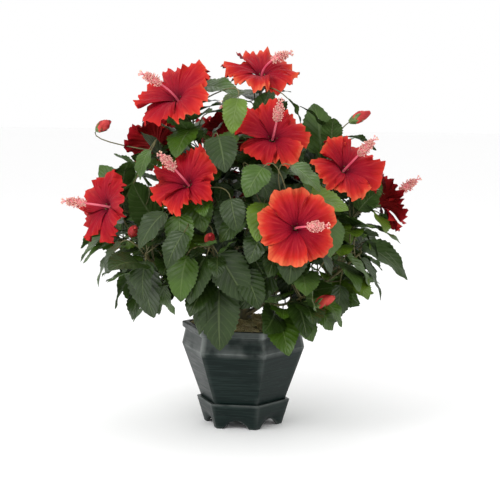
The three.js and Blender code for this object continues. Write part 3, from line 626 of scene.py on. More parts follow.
class Batch:
    """Joins grids of places into one mesh, with a map, rims that stay sharp, and point values."""

    def __init__(self):
        self.places, self.rims, self.values = [], [], []
        self.quads, self.quad_maps, self.triangles = [], [], []
        self.count = 0

    def points(self, places, rim=False, value=0.0):
        """Adds places and gives their numbers; rim and value hold for all or for each."""
        places = np.asarray(places, float).reshape(-1, 3)
        start, self.count = self.count, self.count + len(places)
        self.places.append(places)
        self.rims.append(np.broadcast_to(np.asarray(rim, bool).reshape(-1), len(places)))
        self.values.append(np.broadcast_to(np.asarray(value, float).reshape(-1), len(places)))
        return start + np.arange(len(places))

    def faces(self, index, maps=None, first=0):
        """Quads between the rows and columns of a grid of point numbers, and their map. The first
        corner of each quad decides along which diagonal it folds."""
        corners = cells(np.asarray(index))
        order = np.broadcast_to((np.arange(4) + np.asarray(first)[..., None]) % 4, corners.shape)
        self.quads.append(np.take_along_axis(corners, order, -1).reshape(-1, 4))
        maps = np.zeros((*np.shape(index), 2)) if maps is None else maps
        turned = [np.take_along_axis(cells(maps[..., k]), order, -1) for k in (0, 1)]
        self.quad_maps.append(np.stack(turned, -1).reshape(-1, 4, 2))

    def fan(self, ring, pole, flip=False):
        """Triangles from closed rings of point numbers, the last axis, to their poles."""
        ring = np.asarray(ring)
        after = np.roll(ring, -1, -1)
        pole = np.broadcast_to(np.asarray(pole)[..., None], ring.shape)
        rows = [ring, after, pole] if flip else [after, ring, pole]
        self.triangles.append(np.stack(rows, -1).reshape(-1, 3))

    def tubes(self, lines, radii, sides):
        """Round tubes along many lines at once, closed by a low point at each end.

        Each ring lies square to its line: a fixed direction, made square to the line's tangent,
        gives the ring's first axis, and their cross product its second."""
        lines = np.asarray(lines, float)
        if lines.ndim == 2:
            lines = lines[None]
        radii = np.broadcast_to(np.asarray(radii, float), lines.shape[:2])
        along = unit(np.gradient(lines, axis=1))
        least = np.abs(unit(lines[:, -1] - lines[:, 0])).argmin(1)
        fixed = np.eye(3)[least][:, None, :]
        first = unit(fixed - along * (fixed * along).sum(-1, keepdims=True))
        second = np.cross(along, first)
        turn = np.arange(sides) * 2 * math.pi / sides
        ring = around(first[:, :, None], second[:, :, None], turn)
        places = lines[:, :, None] + ring * radii[:, :, None, None]
        number = self.points(places).reshape(places.shape[:3])
        wrapped = np.concatenate((number, number[..., :1]), -1)
        self.faces(wrapped[..., ::-1])
        start = self.points(lines[:, 0] - along[:, 0] * radii[:, :1] * BULGE)
        end = self.points(lines[:, -1] + along[:, -1] * radii[:, -1:] * BULGE)
        self.fan(number[:, 0], start, flip=True)
        self.fan(number[:, -1], end)

    def sheet(self, front, thickness, maps_front, maps_back):
        """A thin closed sheet from a grid of places: the back lies a thickness behind the front,
        along the grid's normals, and shares its rim, which stays sharp. Both sides fold along the
        same diagonals, and those at the corners run through the corners."""
        rows, columns = front.shape[:2]
        down = np.gradient(front, axis=0)
        right = np.gradient(front, axis=1)
        normal = unit(np.cross(right, down))
        rim = np.ones((rows, columns), bool)
        rim[1:-1, 1:-1] = False
        number = self.points(front, rim=rim).reshape(rows, columns)
        inner = (front - normal * thickness)[1:-1, 1:-1]
        behind = number.copy()
        behind[1:-1, 1:-1] = self.points(inner).reshape(rows - 2, columns - 2)
        low = np.arange(rows - 1) < (rows - 1) / 2
        left = np.arange(columns - 1) < (columns - 1) / 2
        fold = (low[:, None] != left).astype(int)
        self.faces(number[::-1], maps_front[::-1], 1 - fold[::-1])
        self.faces(behind, maps_back, fold)

    def mesh(self, name, value_name=None):
        """The finished mesh, in metres, with its map, its sharp rims and its point values."""
        places = np.concatenate(self.places) * MM
        quads = np.concatenate([np.zeros((0, 4), int)] + self.quads)
        triangles = np.concatenate([np.zeros((0, 3), int)] + self.triangles)
        data = bpy.data.meshes.new(name)
        data.vertices.add(len(places))
        data.vertices.foreach_set("co", places.astype(np.float32).ravel())
        loops = np.concatenate((quads.ravel(), triangles.ravel())).astype(np.int32)
        data.loops.add(len(loops))
        data.loops.foreach_set("vertex_index", loops)
        data.polygons.add(len(quads) + len(triangles))
        starts = np.concatenate((np.arange(len(quads)) * 4,
                                 len(quads) * 4 + np.arange(len(triangles)) * 3))
        data.polygons.foreach_set("loop_start", starts.astype(np.int32))
        data.polygons.foreach_set("use_smooth", np.ones(len(starts), bool))
        data.update(calc_edges=True)
        if any(maps.any() for maps in self.quad_maps):
            maps = np.concatenate([maps.reshape(-1, 2) for maps in self.quad_maps]
                                  + [np.zeros((triangles.size, 2))])
            layer = data.uv_layers.new(name="OFBake")
            layer.data.foreach_set("uv", maps.astype(np.float32).ravel())
        rims = np.concatenate(self.rims)
        if rims.any():
            ends = np.zeros(len(data.edges) * 2, np.int32)
            data.edges.foreach_get("vertices", ends)
            sharp = rims[ends.reshape(-1, 2)].all(1)
            data.attributes.new("sharp_edge", "BOOLEAN", "EDGE").data.foreach_set("value", sharp)
        if value_name:
            values = np.concatenate(self.values).astype(np.float32)
            data.attributes.new(value_name, "FLOAT", "POINT").data.foreach_set("value", values)
        data.validate()
        return data


def show(batch, name, material, replaced=(), value_name=None):
    """Makes the batch's object, which rides on the one body and stands for the CAD nodes."""
    data = batch.mesh(name, value_name)
    data.materials.append(material)
    piece = bpy.data.objects.new(name, data)
    bpy.context.scene.collection.objects.link(piece)
    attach(piece, "root")
    if replaced:
        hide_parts(*replaced)


# ---- Materials

class Shader:
    """A material's node tree, put together by short calls. A value may be a number, a colour or
    another node's output."""

    def __init__(self, name, specular=0.5):
        self.material = bpy.data.materials.new(name)
        self.material.use_nodes = True
        self.tree = self.material.node_tree
        self.tree.nodes.clear()
        output = self.tree.nodes.new("ShaderNodeOutputMaterial")
        self.surface = self.tree.nodes.new("ShaderNodeBsdfPrincipled")
        self.tree.links.new(self.surface.outputs[0], output.inputs["Surface"])
        self.set(self.surface.inputs["Specular IOR Level"], specular)

    def set(self, socket, value):
        if isinstance(value, bpy.types.NodeSocket):
            self.tree.links.new(value, socket)
        else:
            socket.default_value = value

    def node(self, kind, inputs=(), output=0, **settings):
        made = self.tree.nodes.new("ShaderNode" + kind)
        for name, value in settings.items():
            setattr(made, name, value)
        for key, value in dict(inputs).items():
            self.set(made.inputs[key], value)
        return made.outputs[output]

    def math(self, operation, *values, clamp=False):
        return self.node("Math", dict(enumerate(values)), operation=operation, use_clamp=clamp)

    def plus(self, first, second):
        return self.math("ADD", first, second)

    def minus(self, first, second):
        return self.math("SUBTRACT", first, second)

    def times(self, first, second, clamp=False):
        return self.math("MULTIPLY", first, second, clamp=clamp)

    def between(self, value, low, high, to_low=0.0, to_high=1.0):
        """A smooth step from one level to another, as the value goes from low to high."""
        inputs = {"Value": value, "From Min": low, "From Max": high,
                  "To Min": to_low, "To Max": to_high}
        return self.node("MapRange", inputs, interpolation_type="SMOOTHSTEP")

    def blend(self, share, first, second):
        """The colour that lies a share of the way from the first to the second."""
        return self.node("Mix", {0: share, 6: first, 7: second}, 2, data_type="RGBA")

    def noise(self, scale, detail=3.0, stretch=None, place=None):
        """Noise over the object's own coordinates, or a place, stretched along its axes."""
        if place is None:
            place = self.node("TexCoord", output="Object")
        if stretch:
            place = self.node("Mapping", {"Vector": place, "Scale": stretch})
        return self.node("TexNoise", {"Vector": place, "Scale": scale, "Detail": detail})

    def ramp(self, value, first, last, *between):
        """A colour ramp from the first to the last colour, through (place, colour) stops."""
        made = self.tree.nodes.new("ShaderNodeValToRGB")
        elements = made.color_ramp.elements
        elements[0].color, elements[1].color = first, last
        for place, colour in between:
            elements.new(place).color = colour
        self.set(made.inputs[0], value)
        return made.outputs[0]

    def map(self):
        """The two coordinates of the piece's own map."""
        split = self.tree.nodes.new("ShaderNodeSeparateXYZ")
        self.set(split.inputs[0], self.node("UVMap", uv_map="OFBake"))
        return split.outputs[0], split.outputs[1]

    def finish(self, colour, roughness, height, depth, strength):
        """Sets the surface's colour, roughness and relief, whose depth is in metres."""
        relief = self.node("Bump", {"Height": height, "Distance": depth, "Strength": strength})
        for name, value in (("Base Color", colour), ("Roughness", roughness), ("Normal", relief)):
            self.set(self.surface.inputs[name], value)
        return self.material


def leaf_material(tone, settings):
    """Pressed cloth leaf: glossy above with a pale midrib and side veins, dull and paler below.

    Across its map a leaf's upper side fills 0 to 0.5 and its lower side 0.5 to 1, each from edge
    to edge; along it the map runs from stalk to tip. Side veins are lines of share minus a part
    of the distance from the midrib."""
    shader = Shader("leaf_" + tone, specular=0.34)
    green = getattr(settings, tone)
    u, v = shader.map()
    below = shader.math("GREATER_THAN", u, 0.5)
    across = shader.minus(shader.math("FRACT", shader.times(u, 2.0)), 0.5)
    side = shader.times(shader.math("ABSOLUTE", across), 2.0)
    slant = shader.minus(shader.times(v, VEIN_PAIRS), shader.times(side, VEIN_SLANT))
    off = shader.math("ABSOLUTE", shader.minus(shader.math("FRACT", slant), 0.5))
    midrib = shader.between(side, 0.075, 0.03)
    line = shader.math("MAXIMUM", shader.times(shader.between(off, 0.42, 0.5), 0.55), midrib)
    grain = shader.noise(45.0, 2.0)
    cloth = shader.blend(shader.between(grain, 0.35, 0.7), green,
                         [level * 0.72 for level in green[:3]] + [1.0])
    above = shader.blend(shader.times(line, settings.vein), cloth, srgb(132, 150, 96))
    under = shader.blend(shader.times(line, 0.35), settings.under, srgb(140, 150, 110))
    pillow = shader.times(shader.math("SINE", shader.times(off, math.pi)), -0.6)
    fine = shader.times(shader.noise(700.0, 2.0), 0.35)
    rough = shader.plus(shader.between(grain, 0.3, 0.7, settings.gloss, settings.gloss + 0.1),
                        shader.times(below, 0.25))
    return shader.finish(shader.blend(below, above, under), rough,
                         shader.plus(shader.minus(pillow, midrib), fine), 0.0012, 0.55)


def petal_material(settings):
    """Dyed silk petal: a dark heart, red, and an orange ruffled edge, with darker rays; its
    lighter streaks are a painted sheen, and its darker backs painted shade.

    Along its map a petal runs from throat to edge; across it the front fills 0 to 0.5 and the
    back 0.5 to 1. Rays are stretched noise across the petal that fades towards its edge."""
    shader = Shader("petal_silk", specular=0.16)
    u, v = shader.map()
    place = shader.node("CombineXYZ", {0: shader.times(u, 34.0), 1: shader.times(v, 1.6)})
    rays = shader.noise(1.6, place=place)
    ragged = shader.plus(v, shader.times(shader.minus(rays, 0.5), 0.34))
    front = shader.ramp(ragged, settings.heart, settings.tip, (0.1, settings.heart),
                        (0.24, settings.inner), (0.6, settings.petal), (0.8, settings.edge))
    ray = shader.times(shader.between(rays, 0.5, 0.68), shader.between(v, 1.0, 0.4, 0.1, 0.5))
    front = shader.blend(ray, front, settings.inner)
    # Lighter streaks between the darker rays: a painted sheen on the creases
    crest_sheen = shader.times(shader.between(rays, 0.5, 0.3), shader.between(v, 0.2, 0.6, 0.0, 0.26))
    front = shader.blend(crest_sheen, front, settings.crest_sheen)
    # The backs' darker red is painted shade of the undersides
    back = shader.ramp(ragged, srgb(120, 20, 20), settings.petal, (0.5, settings.back))
    colour = shader.blend(shader.math("GREATER_THAN", u, 0.5), front, back)
    weave = shader.plus(shader.times(rays, 1.4), shader.times(shader.noise(1500.0, 1.0), 0.12))
    return shader.finish(colour, 0.62, weave, 0.0016, 0.5)


def plain_material(name, colour, other, scale, roughness, depth=0.0003, stretch=None,
                   strength=0.4):
    """Two close tones mixed by noise, whose grain also gives the relief."""
    shader = Shader(name)
    grain = shader.noise(scale, 4.0, stretch)
    colour = shader.blend(shader.between(grain, 0.35, 0.65), colour, other)
    return shader.finish(colour, shader.between(grain, 0.3, 0.7, roughness, roughness + 0.15),
                         grain, depth, strength)


def planter_material(settings):
    """Charcoal moulded plastic with fine brushed lines round it, paler along its edges: wearing of
    its wash, brightened there as a painted highlight, and a painted reflection on the strip over
    the shoulder.

    The pale edges' point value is 1 on an edge and 0 on a face."""
    shader = Shader("planter_charcoal", specular=0.14)
    wear = shader.node("Attribute", attribute_name="wear", output="Fac")
    lines = shader.noise(60.0, 4.0, (0.35, 0.35, 9.0))
    patches = shader.noise(28.0, 4.0)
    # Pale edges in patches: wearing of the wash, brightened as a painted highlight, with a painted
    # reflection on the strip over the shoulder
    rubbed_and_lit = shader.times(wear, shader.between(patches, 0.3, 0.62), clamp=True)
    dark = shader.blend(shader.between(lines, 0.4, 0.7), settings.colour, settings.brushed)
    scuffs = shader.between(shader.noise(90.0, 5.0, (0.5, 0.5, 6.0)), 0.62, 0.78)
    dark = shader.blend(shader.times(scuffs, 0.45), dark, settings.scuff)
    rough = shader.between(lines, 0.3, 0.7, settings.roughness, settings.roughness + 0.16)
    return shader.finish(shader.blend(rubbed_and_lit, dark, settings.rubbed_and_lit), rough, lines, 0.0004, 0.5)


# ---- Leaves, twigs and blooms

LEAF_ROWS, LEAF_COLUMNS = 25, 5
# How full a leaf is, how deep it is cupped, and the waves along its edges
LEAF_FULLNESS, LEAF_CUP, LEAF_WAVES = 0.82, 0.12, (1.3, 2.6)
# The fourth tone, a duller green, is a painted sheen, dealt also to some leaves of every spray
LEAF_TONES = ("dark", "middle", "fresh", "grey")
TONE_SHARES = (0.4, 0.36, 0.1, 0.14)
VEIN_PAIRS, VEIN_SLANT = 8.0, 2.2
PETAL_ROWS, PETAL_COLUMNS = 17, 35
# A petal: where it starts, how far its corners draw in, the shortest as a share of the longest,
# how much wider than the rule's it is, and its droop
PETAL = dict(start=0.05, corners=0.24, shortest=0.9, widening=1.24, droop=0.26)
# Waves of its rim: depth as a share of its length, waves across it, and which phase is theirs
RIM_WAVES = ((0.04, 1.7, 0), (0.022, 4.6, 1), (0.014, 9.7, 6))
# Its ruffles: height as a share of the usual, waves across it, which phase is theirs, and the
# power of the share of its length by which they grow
RUFFLES = ((1.1, 1.4, 2, 3), (0.8, 3.6, 3, 3), (0.6, 9.1, 4, 5), (0.2, 7.7, 6, 1))
# Relief of taped wire: height and waves of its rings, height of its lumps, and how far it is sunk
STEM_RELIEF, BOUGH_RELIEF = (0.5, 70, 0.5, 0.4), (0.16, 95, 0.22, 0.1)
# A brush of stamens: where its core and its threads lie along the column, their lean, length,
# bend and radii, and how far a grain reaches to either side of its thread's end
BRUSH = dict(column_radii=(1.8, 1.0), core=(0.57, 0.99), core_radius=4.4, roots=(0.6, 0.97),
             lean=(-0.1, 0.7), length=(3.4, 9.0), bend=0.6, radius=0.45, grain=0.7)
# A fibre of moss: its steps, how far one turns by chance and steadily, and the ranges of a step,
# of the arch and of the radius
FIBRE = dict(steps=13, turn=0.28, bend=0.35, step=(1.6, 3.6), arch=(0.3, 5.5), radius=(0.28, 0.6))
SEEDS = dict(leaves=628, shoots=5, stems=7, petals=23, stamens=31, moss=41)
# How far each bloom's colours run: less is redder, more has a wider orange rim
BLOOM_TONES = dict(upper_left=0.86, top=0.95, middle_left=0.84, centre=0.9, left=0.8,
                   front_right=0.98, right=0.92, far_right=0.78)
# The green that prevails in each spray: dark on most lower and front sprays, which paints their
# shade, and a duller green on the centre and right ones, a painted sheen
SPRAY_TONES = dict(
    upper_left="middle", top="dark", middle_left="dark", centre="grey", left="middle",
    front_right="dark", right="grey", upper_right="middle", far_right="fresh", back_left="dark",
    lower_left="dark", lower_front="dark", lower_right="middle", right_low="fresh")
BUD_SWELL = 1.2
# Cups of a calyx: how far behind its middle it starts, its radius, length, lobes and flare
BLOOM_CUPS = ((1.0, 5.0, 16, 5, 1.4), (1.5, 4.0, 9, 7, 4.5))
BUD_CUPS = ((0.5, 6.4, 20, 5, 2.6), (1.0, 3.6, 8, 7, 4.0))
ALL_SPRAYS = ["spray_" + row[0] for row in MASSES]
ALL_BOUGHS = ["bough_" + row[0] for row in MASSES]


def noise_row(draw, count, waves):
    """A smooth random row from -1 to 1: a few sine waves with random phases."""
    place = np.linspace(0, 1, count)
    rows = [np.sin(2 * math.pi * (wave * place + draw.random())) for wave in waves]
    return sum(rows) / len(rows)


def leaf_surface(leaf, draw, wave, teeth):
    """Grid of a leaf: the rule's blade, with a toothed edge that waves, and cupped halves.

    Width: a power of the leaf's outline, stretched by a tooth at every second ring. Height:
    cupping and two slow waves along each edge, by a power of the way to the edge."""
    share = np.linspace(0.0, 1.0, LEAF_ROWS)[:, None]
    sideways = np.linspace(-1, 1, LEAF_COLUMNS)[None, :]
    width = outline(np.clip(share, 0.0004, 0.9996)) ** LEAF_FULLNESS
    tooth = np.where(np.arange(LEAF_ROWS) % 2 == 1, teeth, -teeth * 0.5)[:, None]
    width = width * (1 + tooth * (np.abs(sideways) > 0.9))
    left, right = (noise_row(draw, LEAF_ROWS, LEAF_WAVES)[:, None] for _ in range(2))
    waves = np.where(sideways < 0, left, right) * wave
    lift = (waves - leaf.half_width * LEAF_CUP) * np.abs(sideways) ** 1.6 * np.sin(
        math.pi * np.clip(share, 0, 1)) ** 0.5
    return leaf.at(share, sideways, lift, width)


def sheet_maps(rows, columns, root):
    """Maps of the front and back of a leaf or petal, which begin at a value at its root."""
    u, v = np.meshgrid(np.linspace(0.004, 0.496, columns), np.linspace(root, 1, rows))
    return np.stack((u, v), -1), np.stack((u + 0.5, v), -1)


def petal_surface(bloom, number, draw, ruffle):
    """Grid of a petal: the rule's fan, drawn in at its waist, with a frilled and ruffled rim.

    Reach: the rule's, with three sine waves along the rim. Height: sine waves across the petal
    times powers of the share of its length, and a droop of its own."""
    share = np.linspace(PETAL["start"], 1, PETAL_ROWS)[:, None]
    sideways = np.linspace(-1, 1, PETAL_COLUMNS)[None, :]
    place = (sideways + 1) / 2
    phase = draw.random(9)

    def wave(count, index):
        return np.sin(2 * math.pi * (count * place + phase[index]))

    scallop = sum(depth * wave(count, index) for depth, count, index in RIM_WAVES)
    reach = share * (1 - PETAL["corners"] * np.abs(sideways) ** 3 + scallop * share ** 2)
    reach = reach * mix(PETAL["shortest"], 1.0, phase[8])
    lift = sum(height * wave(count, index) * share ** power
               for height, count, index, power in RUFFLES)
    lift = lift + 0.28 * share * wave(6.3, 7) * np.sin(9.0 * share + 6.0 * phase[8])
    droop = bloom.size * PETAL["droop"] * (phase[5] - 0.42) * share ** 2.5
    lift = ruffle * lift - droop
    corner = share ** 4 * np.abs(sideways) ** 5
    width = PETAL["widening"] * (1 - 0.22 * corner)
    return bloom.petal(number, share, sideways * width, lift, reach * (1 - 0.1 * corner))


def build_leaves(growth, settings):
    """All leaves, one piece for each tone, dealt out by spray with a few of the next tone."""
    draw = np.random.default_rng(SEEDS["leaves"])
    front, back = sheet_maps(LEAF_ROWS, LEAF_COLUMNS, 0.0)
    batches = {tone: Batch() for tone in LEAF_TONES}
    for mass in growth.masses:
        # The dark tone of the lower sprays is painted shade, and the duller green tone a painted
        # sheen
        own = SPRAY_TONES.get(mass.name, LEAF_TONES[draw.integers(0, 2)])
        for leaf, twig in mass.leaves:
            tone = own if draw.random() < 0.5 else draw.choice(LEAF_TONES, p=TONE_SHARES)
            surface = leaf_surface(leaf, draw, settings.wave / MM, settings.teeth)
            batches[tone].sheet(surface, settings.thickness / MM, front, back)
    for tone, batch in batches.items():
        show(batch, "leaves_" + tone, leaf_material(tone, settings), ALL_SPRAYS)


def build_twigs(growth, settings):
    """Leaf stalks and the shoots that they spring from, as round tapering tubes."""
    batch = Batch()
    twigs = [twig for mass in growth.masses for leaf, twig in mass.leaves]
    twigs += [twig for mass in growth.masses for bud, twig in mass.buds]
    share = np.linspace(0, 1, 8)
    radii = np.linspace(settings.twig_radius, settings.twig_radius * 0.7, 8) / MM
    batch.tubes(np.stack([bezier(twig, share) for twig in twigs]), radii[None], 5)
    share = np.linspace(0, 1, 20)
    draw = np.random.default_rng(SEEDS["shoots"])
    radii = np.linspace(SHOOT["root_radius"], SHOOT["tip_radius"], 20)
    radii = radii + draw.random((len(growth.masses), 20)) * 0.35
    batch.tubes(np.stack([bezier(mass.shoot, share) for mass in growth.masses]), radii, 8)
    material = plain_material("twig_green", settings.twig, settings.twig_light, 90.0, 0.5,
                              stretch=(1, 1, 0.3))
    show(batch, "twigs", material, ALL_SPRAYS)


def relief(draw, share, shape, rings, waves, lumps, sunk):
    """What is added to a limb's radius: a sine along it for rings, and small draws for lumps."""
    return rings * np.sin(share * waves) + draw.random(shape) * lumps - sunk


def build_stems(growth, settings):
    """Main stem and boughs with the relief of taped wire, on round tubes that taper. The stem
    flares at its foot by the square of the way left to the flare's top."""
    batch = Batch()
    draw = np.random.default_rng(SEEDS["stems"])
    line = [np.array((0, 0, STEM_FOOT - 3.0)), np.array((0, 0, STEM_FOOT + 38.0)),
            np.array((STEM["lean"], -STEM["lean"], STEM_FOOT + STEM["height"]))]
    share = np.linspace(0, 1, 26)
    flare = np.maximum(0, 1 - share * STEM["height"] / STEM["flare_height"]) ** 2
    radii = mix(STEM["root_radius"], STEM["tip_radius"], share)
    radii = radii + (STEM["flare_radius"] - STEM["root_radius"]) * flare
    radii = radii + relief(draw, share, 26, *STEM_RELIEF)
    batch.tubes(bezier(line, share), radii[None], 22)
    share = np.linspace(0, 1, 30)
    radii = mix(BOUGH["root_radius"], BOUGH["tip_radius"], share)
    radii = radii + relief(draw, share, (len(growth.masses), 30), *BOUGH_RELIEF)
    batch.tubes(np.stack([bezier(mass.bough, share) for mass in growth.masses]), radii, 9)
    material = plain_material("stem_green", settings.stem, settings.stem_light, 120.0, 0.6,
                              0.0006, (1, 1, 0.35), 0.7)
    show(batch, "stems", material, ["main_stem"] + ALL_BOUGHS)


def build_petals(growth, settings):
    """All petals, with maps that end lower, at a redder place, on some blooms and petals."""
    batch = Batch()
    draw = np.random.default_rng(SEEDS["petals"])
    front, back = sheet_maps(PETAL_ROWS, PETAL_COLUMNS, 0.02)
    for mass in growth.masses:
        for bloom in mass.blooms:
            own = BLOOM_TONES.get(mass.name, draw.uniform(0.82, 0.97))
            for number in range(bloom.petals):
                surface = petal_surface(bloom, number, draw, settings.ruffle / MM)
                tone = np.array((1.0, own + draw.uniform(-0.1, 0.04)))
                batch.sheet(surface[:, ::-1], settings.thickness / MM, front * tone, back * tone)
    show(batch, "petals", petal_material(settings), ALL_SPRAYS)


def build_stamens(growth, settings):
    """Stamen columns, their brushes of fine threads, and the grains and pads at their ends.

    Threads leave the column square to it, a golden angle apart, and lean a little forward. A
    spindle fills the brush's core, and five short stalks with pads end the column."""
    columns, threads, grains, pads = Batch(), Batch(), Batch(), Batch()
    draw = np.random.default_rng(SEEDS["stamens"])
    share, count = np.linspace(0, 1, 20), settings.threads
    number = np.arange(count)
    for bloom in growth.blooms:
        line = bloom.column()
        along = unit(line[2] - line[1])
        right = square_to(along)
        up = np.cross(along, right)
        columns.tubes(bezier(line, share), mix(*BRUSH["column_radii"], share)[None], 8)
        core = BRUSH["core_radius"] * np.sin(math.pi * mix(0.06, 0.96, share))
        threads.tubes(bezier(line, mix(*BRUSH["core"], share)), core[None], 12)

        along_brush = (number + draw.random(count)) / count
        roots = bezier(line, mix(*BRUSH["roots"], along_brush))
        out = unit(around(right, up, number * GOLDEN_ANGLE * DEGREE)
                   + along * draw.uniform(*BRUSH["lean"], (count, 1)))
        length = draw.uniform(*BRUSH["length"], count)
        length = length * (0.55 + 0.45 * np.sin(math.pi * along_brush))
        ends = roots + out * length[:, None]
        bend = mix(roots, ends, 0.5)
        bend = bend + along * draw.uniform(-BRUSH["bend"], BRUSH["bend"], (count, 1))
        threads.tubes(np.stack((roots, bend, ends), 1), np.full((1, 3), BRUSH["radius"]), 3)
        grain = out * BRUSH["grain"]
        grains.tubes(np.stack((ends - grain, ends, ends + grain), 1),
                     np.array([[0.6, 1.15, 0.55]]), 5)

        way = unit(along * 0.9 + around(right, up, np.arange(5) * 72 * DEGREE + draw.random()))
        stops = np.linspace(0, 1, 5)[:, None]
        lines = bezier(line, 1.0) + way[:, None] * (stops * 5.0) + along * stops ** 2 * 1.5
        threads.tubes(lines, np.full((1, 5), 0.4), 4)
        pads.tubes(np.stack([lines[:, -1] + along * ahead for ahead in (-0.5, 0.5, 1.2)], 1),
                   np.array([[0.9, 1.5, 0.9]]), 6)
    for batch, part, colour, other, scale, roughness in (
            (columns, "column", settings.column, settings.column_root, 40.0, 0.55),
            (threads, "thread", settings.thread, settings.column, 300.0, 0.6),
            (grains, "grain", settings.grain, settings.thread, 260.0, 0.7),
            (pads, "pad", settings.pad, settings.thread, 200.0, 0.7)):
        material = plain_material("stamen_" + part, colour, other, scale, roughness)
        show(batch, "stamen_" + part + "s", material, ALL_SPRAYS)


def cup(batch, root, way, radius, length, lobes, flare):
    """A green cup with pointed lobes: rings about an axis whose upper rim rises and falls.

    Rim height: a triangle wave with one peak for each lobe. Radius: root to full width by a
    sine, then outwards by the flare."""
    right = square_to(way)
    rows, columns = 9, lobes * 6
    step = np.arange(columns + 1)
    ring = around(right, np.cross(way, right), step * 2 * math.pi / columns)
    peak = 1 - np.abs(step % 6 - 3) / 3
    share = np.linspace(0, 1, rows)[:, None]
    height = length * share * (0.5 + 0.5 * peak * share)
    wide = radius * (0.45 + 0.6 * np.sin(share * math.pi * 0.6)) + flare * share ** 3 * peak
    places = root + way * height[..., None] + ring * wide[..., None]
    outer = batch.points(places[:, :-1]).reshape(rows, columns)
    inner = batch.points((places - ring * 0.35)[:-1, :-1]).reshape(rows - 1, columns)
    inner = np.concatenate((inner, outer[-1:]))
    batch.faces(np.concatenate((outer, outer[:, :1]), 1)[::-1])
    batch.faces(np.concatenate((inner, inner[:, :1]), 1))
    low, high = batch.points((root, root + way * 0.5))
    batch.fan(outer[0], low, flip=True)
    batch.fan(inner[0], high)


def build_calyxes(growth, settings):
    """Two cups of green lobes behind each bloom and bud."""
    batch = Batch()
    for mass in growth.masses:
        held = [(bloom, BLOOM_CUPS) for bloom in mass.blooms]
        held += [(bud, BUD_CUPS) for bud, twig in mass.buds]
        for thing, cups in held:
            for behind, *form in cups:
                cup(batch, thing.calyx - thing.face * behind, thing.face, *form)
    material = plain_material("calyx_green", settings.calyx, settings.calyx_light, 160.0, 0.55)
    show(batch, "calyxes", material, ALL_SPRAYS)


def build_buds(growth, settings):
    """Rolled buds: a spindle whose section has a step that winds round it, as a furled petal's.

    Radius: a sine along the bud, times one plus a part of a saw-tooth that turns with height."""
    batch = Batch()
    rows, columns = 18, 26
    share = np.linspace(0.03, 0.985, rows)[:, None]
    turn = np.arange(columns) * 2 * math.pi / columns
    saw = ((turn / (2 * math.pi)) * 3 + share * 1.3) % 1
    wide = BUD["radius"] * BUD_SWELL * (0.26 + 0.8 * np.sin(math.pi * share ** 0.9) ** 0.9)
    wide = wide * (1 + 0.32 * (saw - 0.5))
    height = BUD["length"] * share
    for mass in growth.masses:
        for bud, twig in mass.buds:
            right = square_to(bud.face)
            ring = around(right, np.cross(bud.face, right), turn)
            places = bud.calyx + bud.face * height[..., None] + ring * wide[..., None]
            number = batch.points(places).reshape(rows, columns)
            batch.faces(np.concatenate((number, number[:, :1]), 1)[::-1])
            ends = batch.points(np.stack((bud.calyx, bud.tip)))
            batch.fan(number[0], ends[0], flip=True)
            batch.fan(number[-1], ends[1])
    material = plain_material("bud_red", settings.bud, settings.bud_light, 70.0, 0.6, 0.0006,
                              (1, 1, 0.3))
    show(batch, "buds", material, ALL_SPRAYS)


# ---- Moss

MOSS_REACH = POT["neck_radius"] - POT["wall"] / FLAT_TO_CORNER - GAP
MOSS_FLOOR = POT["neck_height"] - 20


def hexagon_reach(turn):
    """Distance of a hexagon's side from its middle, for a corner radius of one, by direction."""
    part = (turn - FRONT) % SIDE_TURN
    return FLAT_TO_CORNER / np.cos(np.where(part > HALF_SIDE, part - SIDE_TURN, part))


def moss_height(radius, turn):
    """The mound's height by how far out a place lies, with soft lumps of crossed sine waves."""
    x, y = radius * np.cos(turn), radius * np.sin(turn)
    dome = mix(MOSS["crown_height"], MOSS["edge_height"], (radius / 80) ** 2)
    return dome + 1.3 * np.sin(x * 0.21 + 1) * np.sin(y * 0.17) + 0.7 * np.sin(x * 0.5 + y * 0.43)


def build_moss_mound(settings):
    """A lumpy mound inside the planter: rings of a hexagon, closed by a flat underside."""
    batch = Batch()
    rings, columns = 26, 96
    turn = np.arange(columns) * 2 * math.pi / columns
    radius = np.linspace(0.03, 1, rings)[:, None] * MOSS_REACH * hexagon_reach(turn)
    places = np.stack((radius * np.cos(turn), radius * np.sin(turn),
                       moss_height(radius, turn)), -1)
    number = batch.points(places).reshape(rings, columns)
    floor = places[-1].copy()
    floor[:, 2] = MOSS_FLOOR
    low = batch.points(floor)
    number = np.concatenate((number, low[None]), 0)
    batch.faces(np.concatenate((number, number[:, :1]), 1))
    poles = batch.points([(0, 0, moss_height(0.0, 0.0)), (0, 0, MOSS_FLOOR)])
    batch.fan(number[0], poles[0])
    batch.fan(low, poles[1], flip=True)
    mound = plain_material("moss_mound", settings.shade, settings.colour, 120.0, 0.95, 0.003)
    show(batch, "moss_mound", mound, ["moss_fill"])


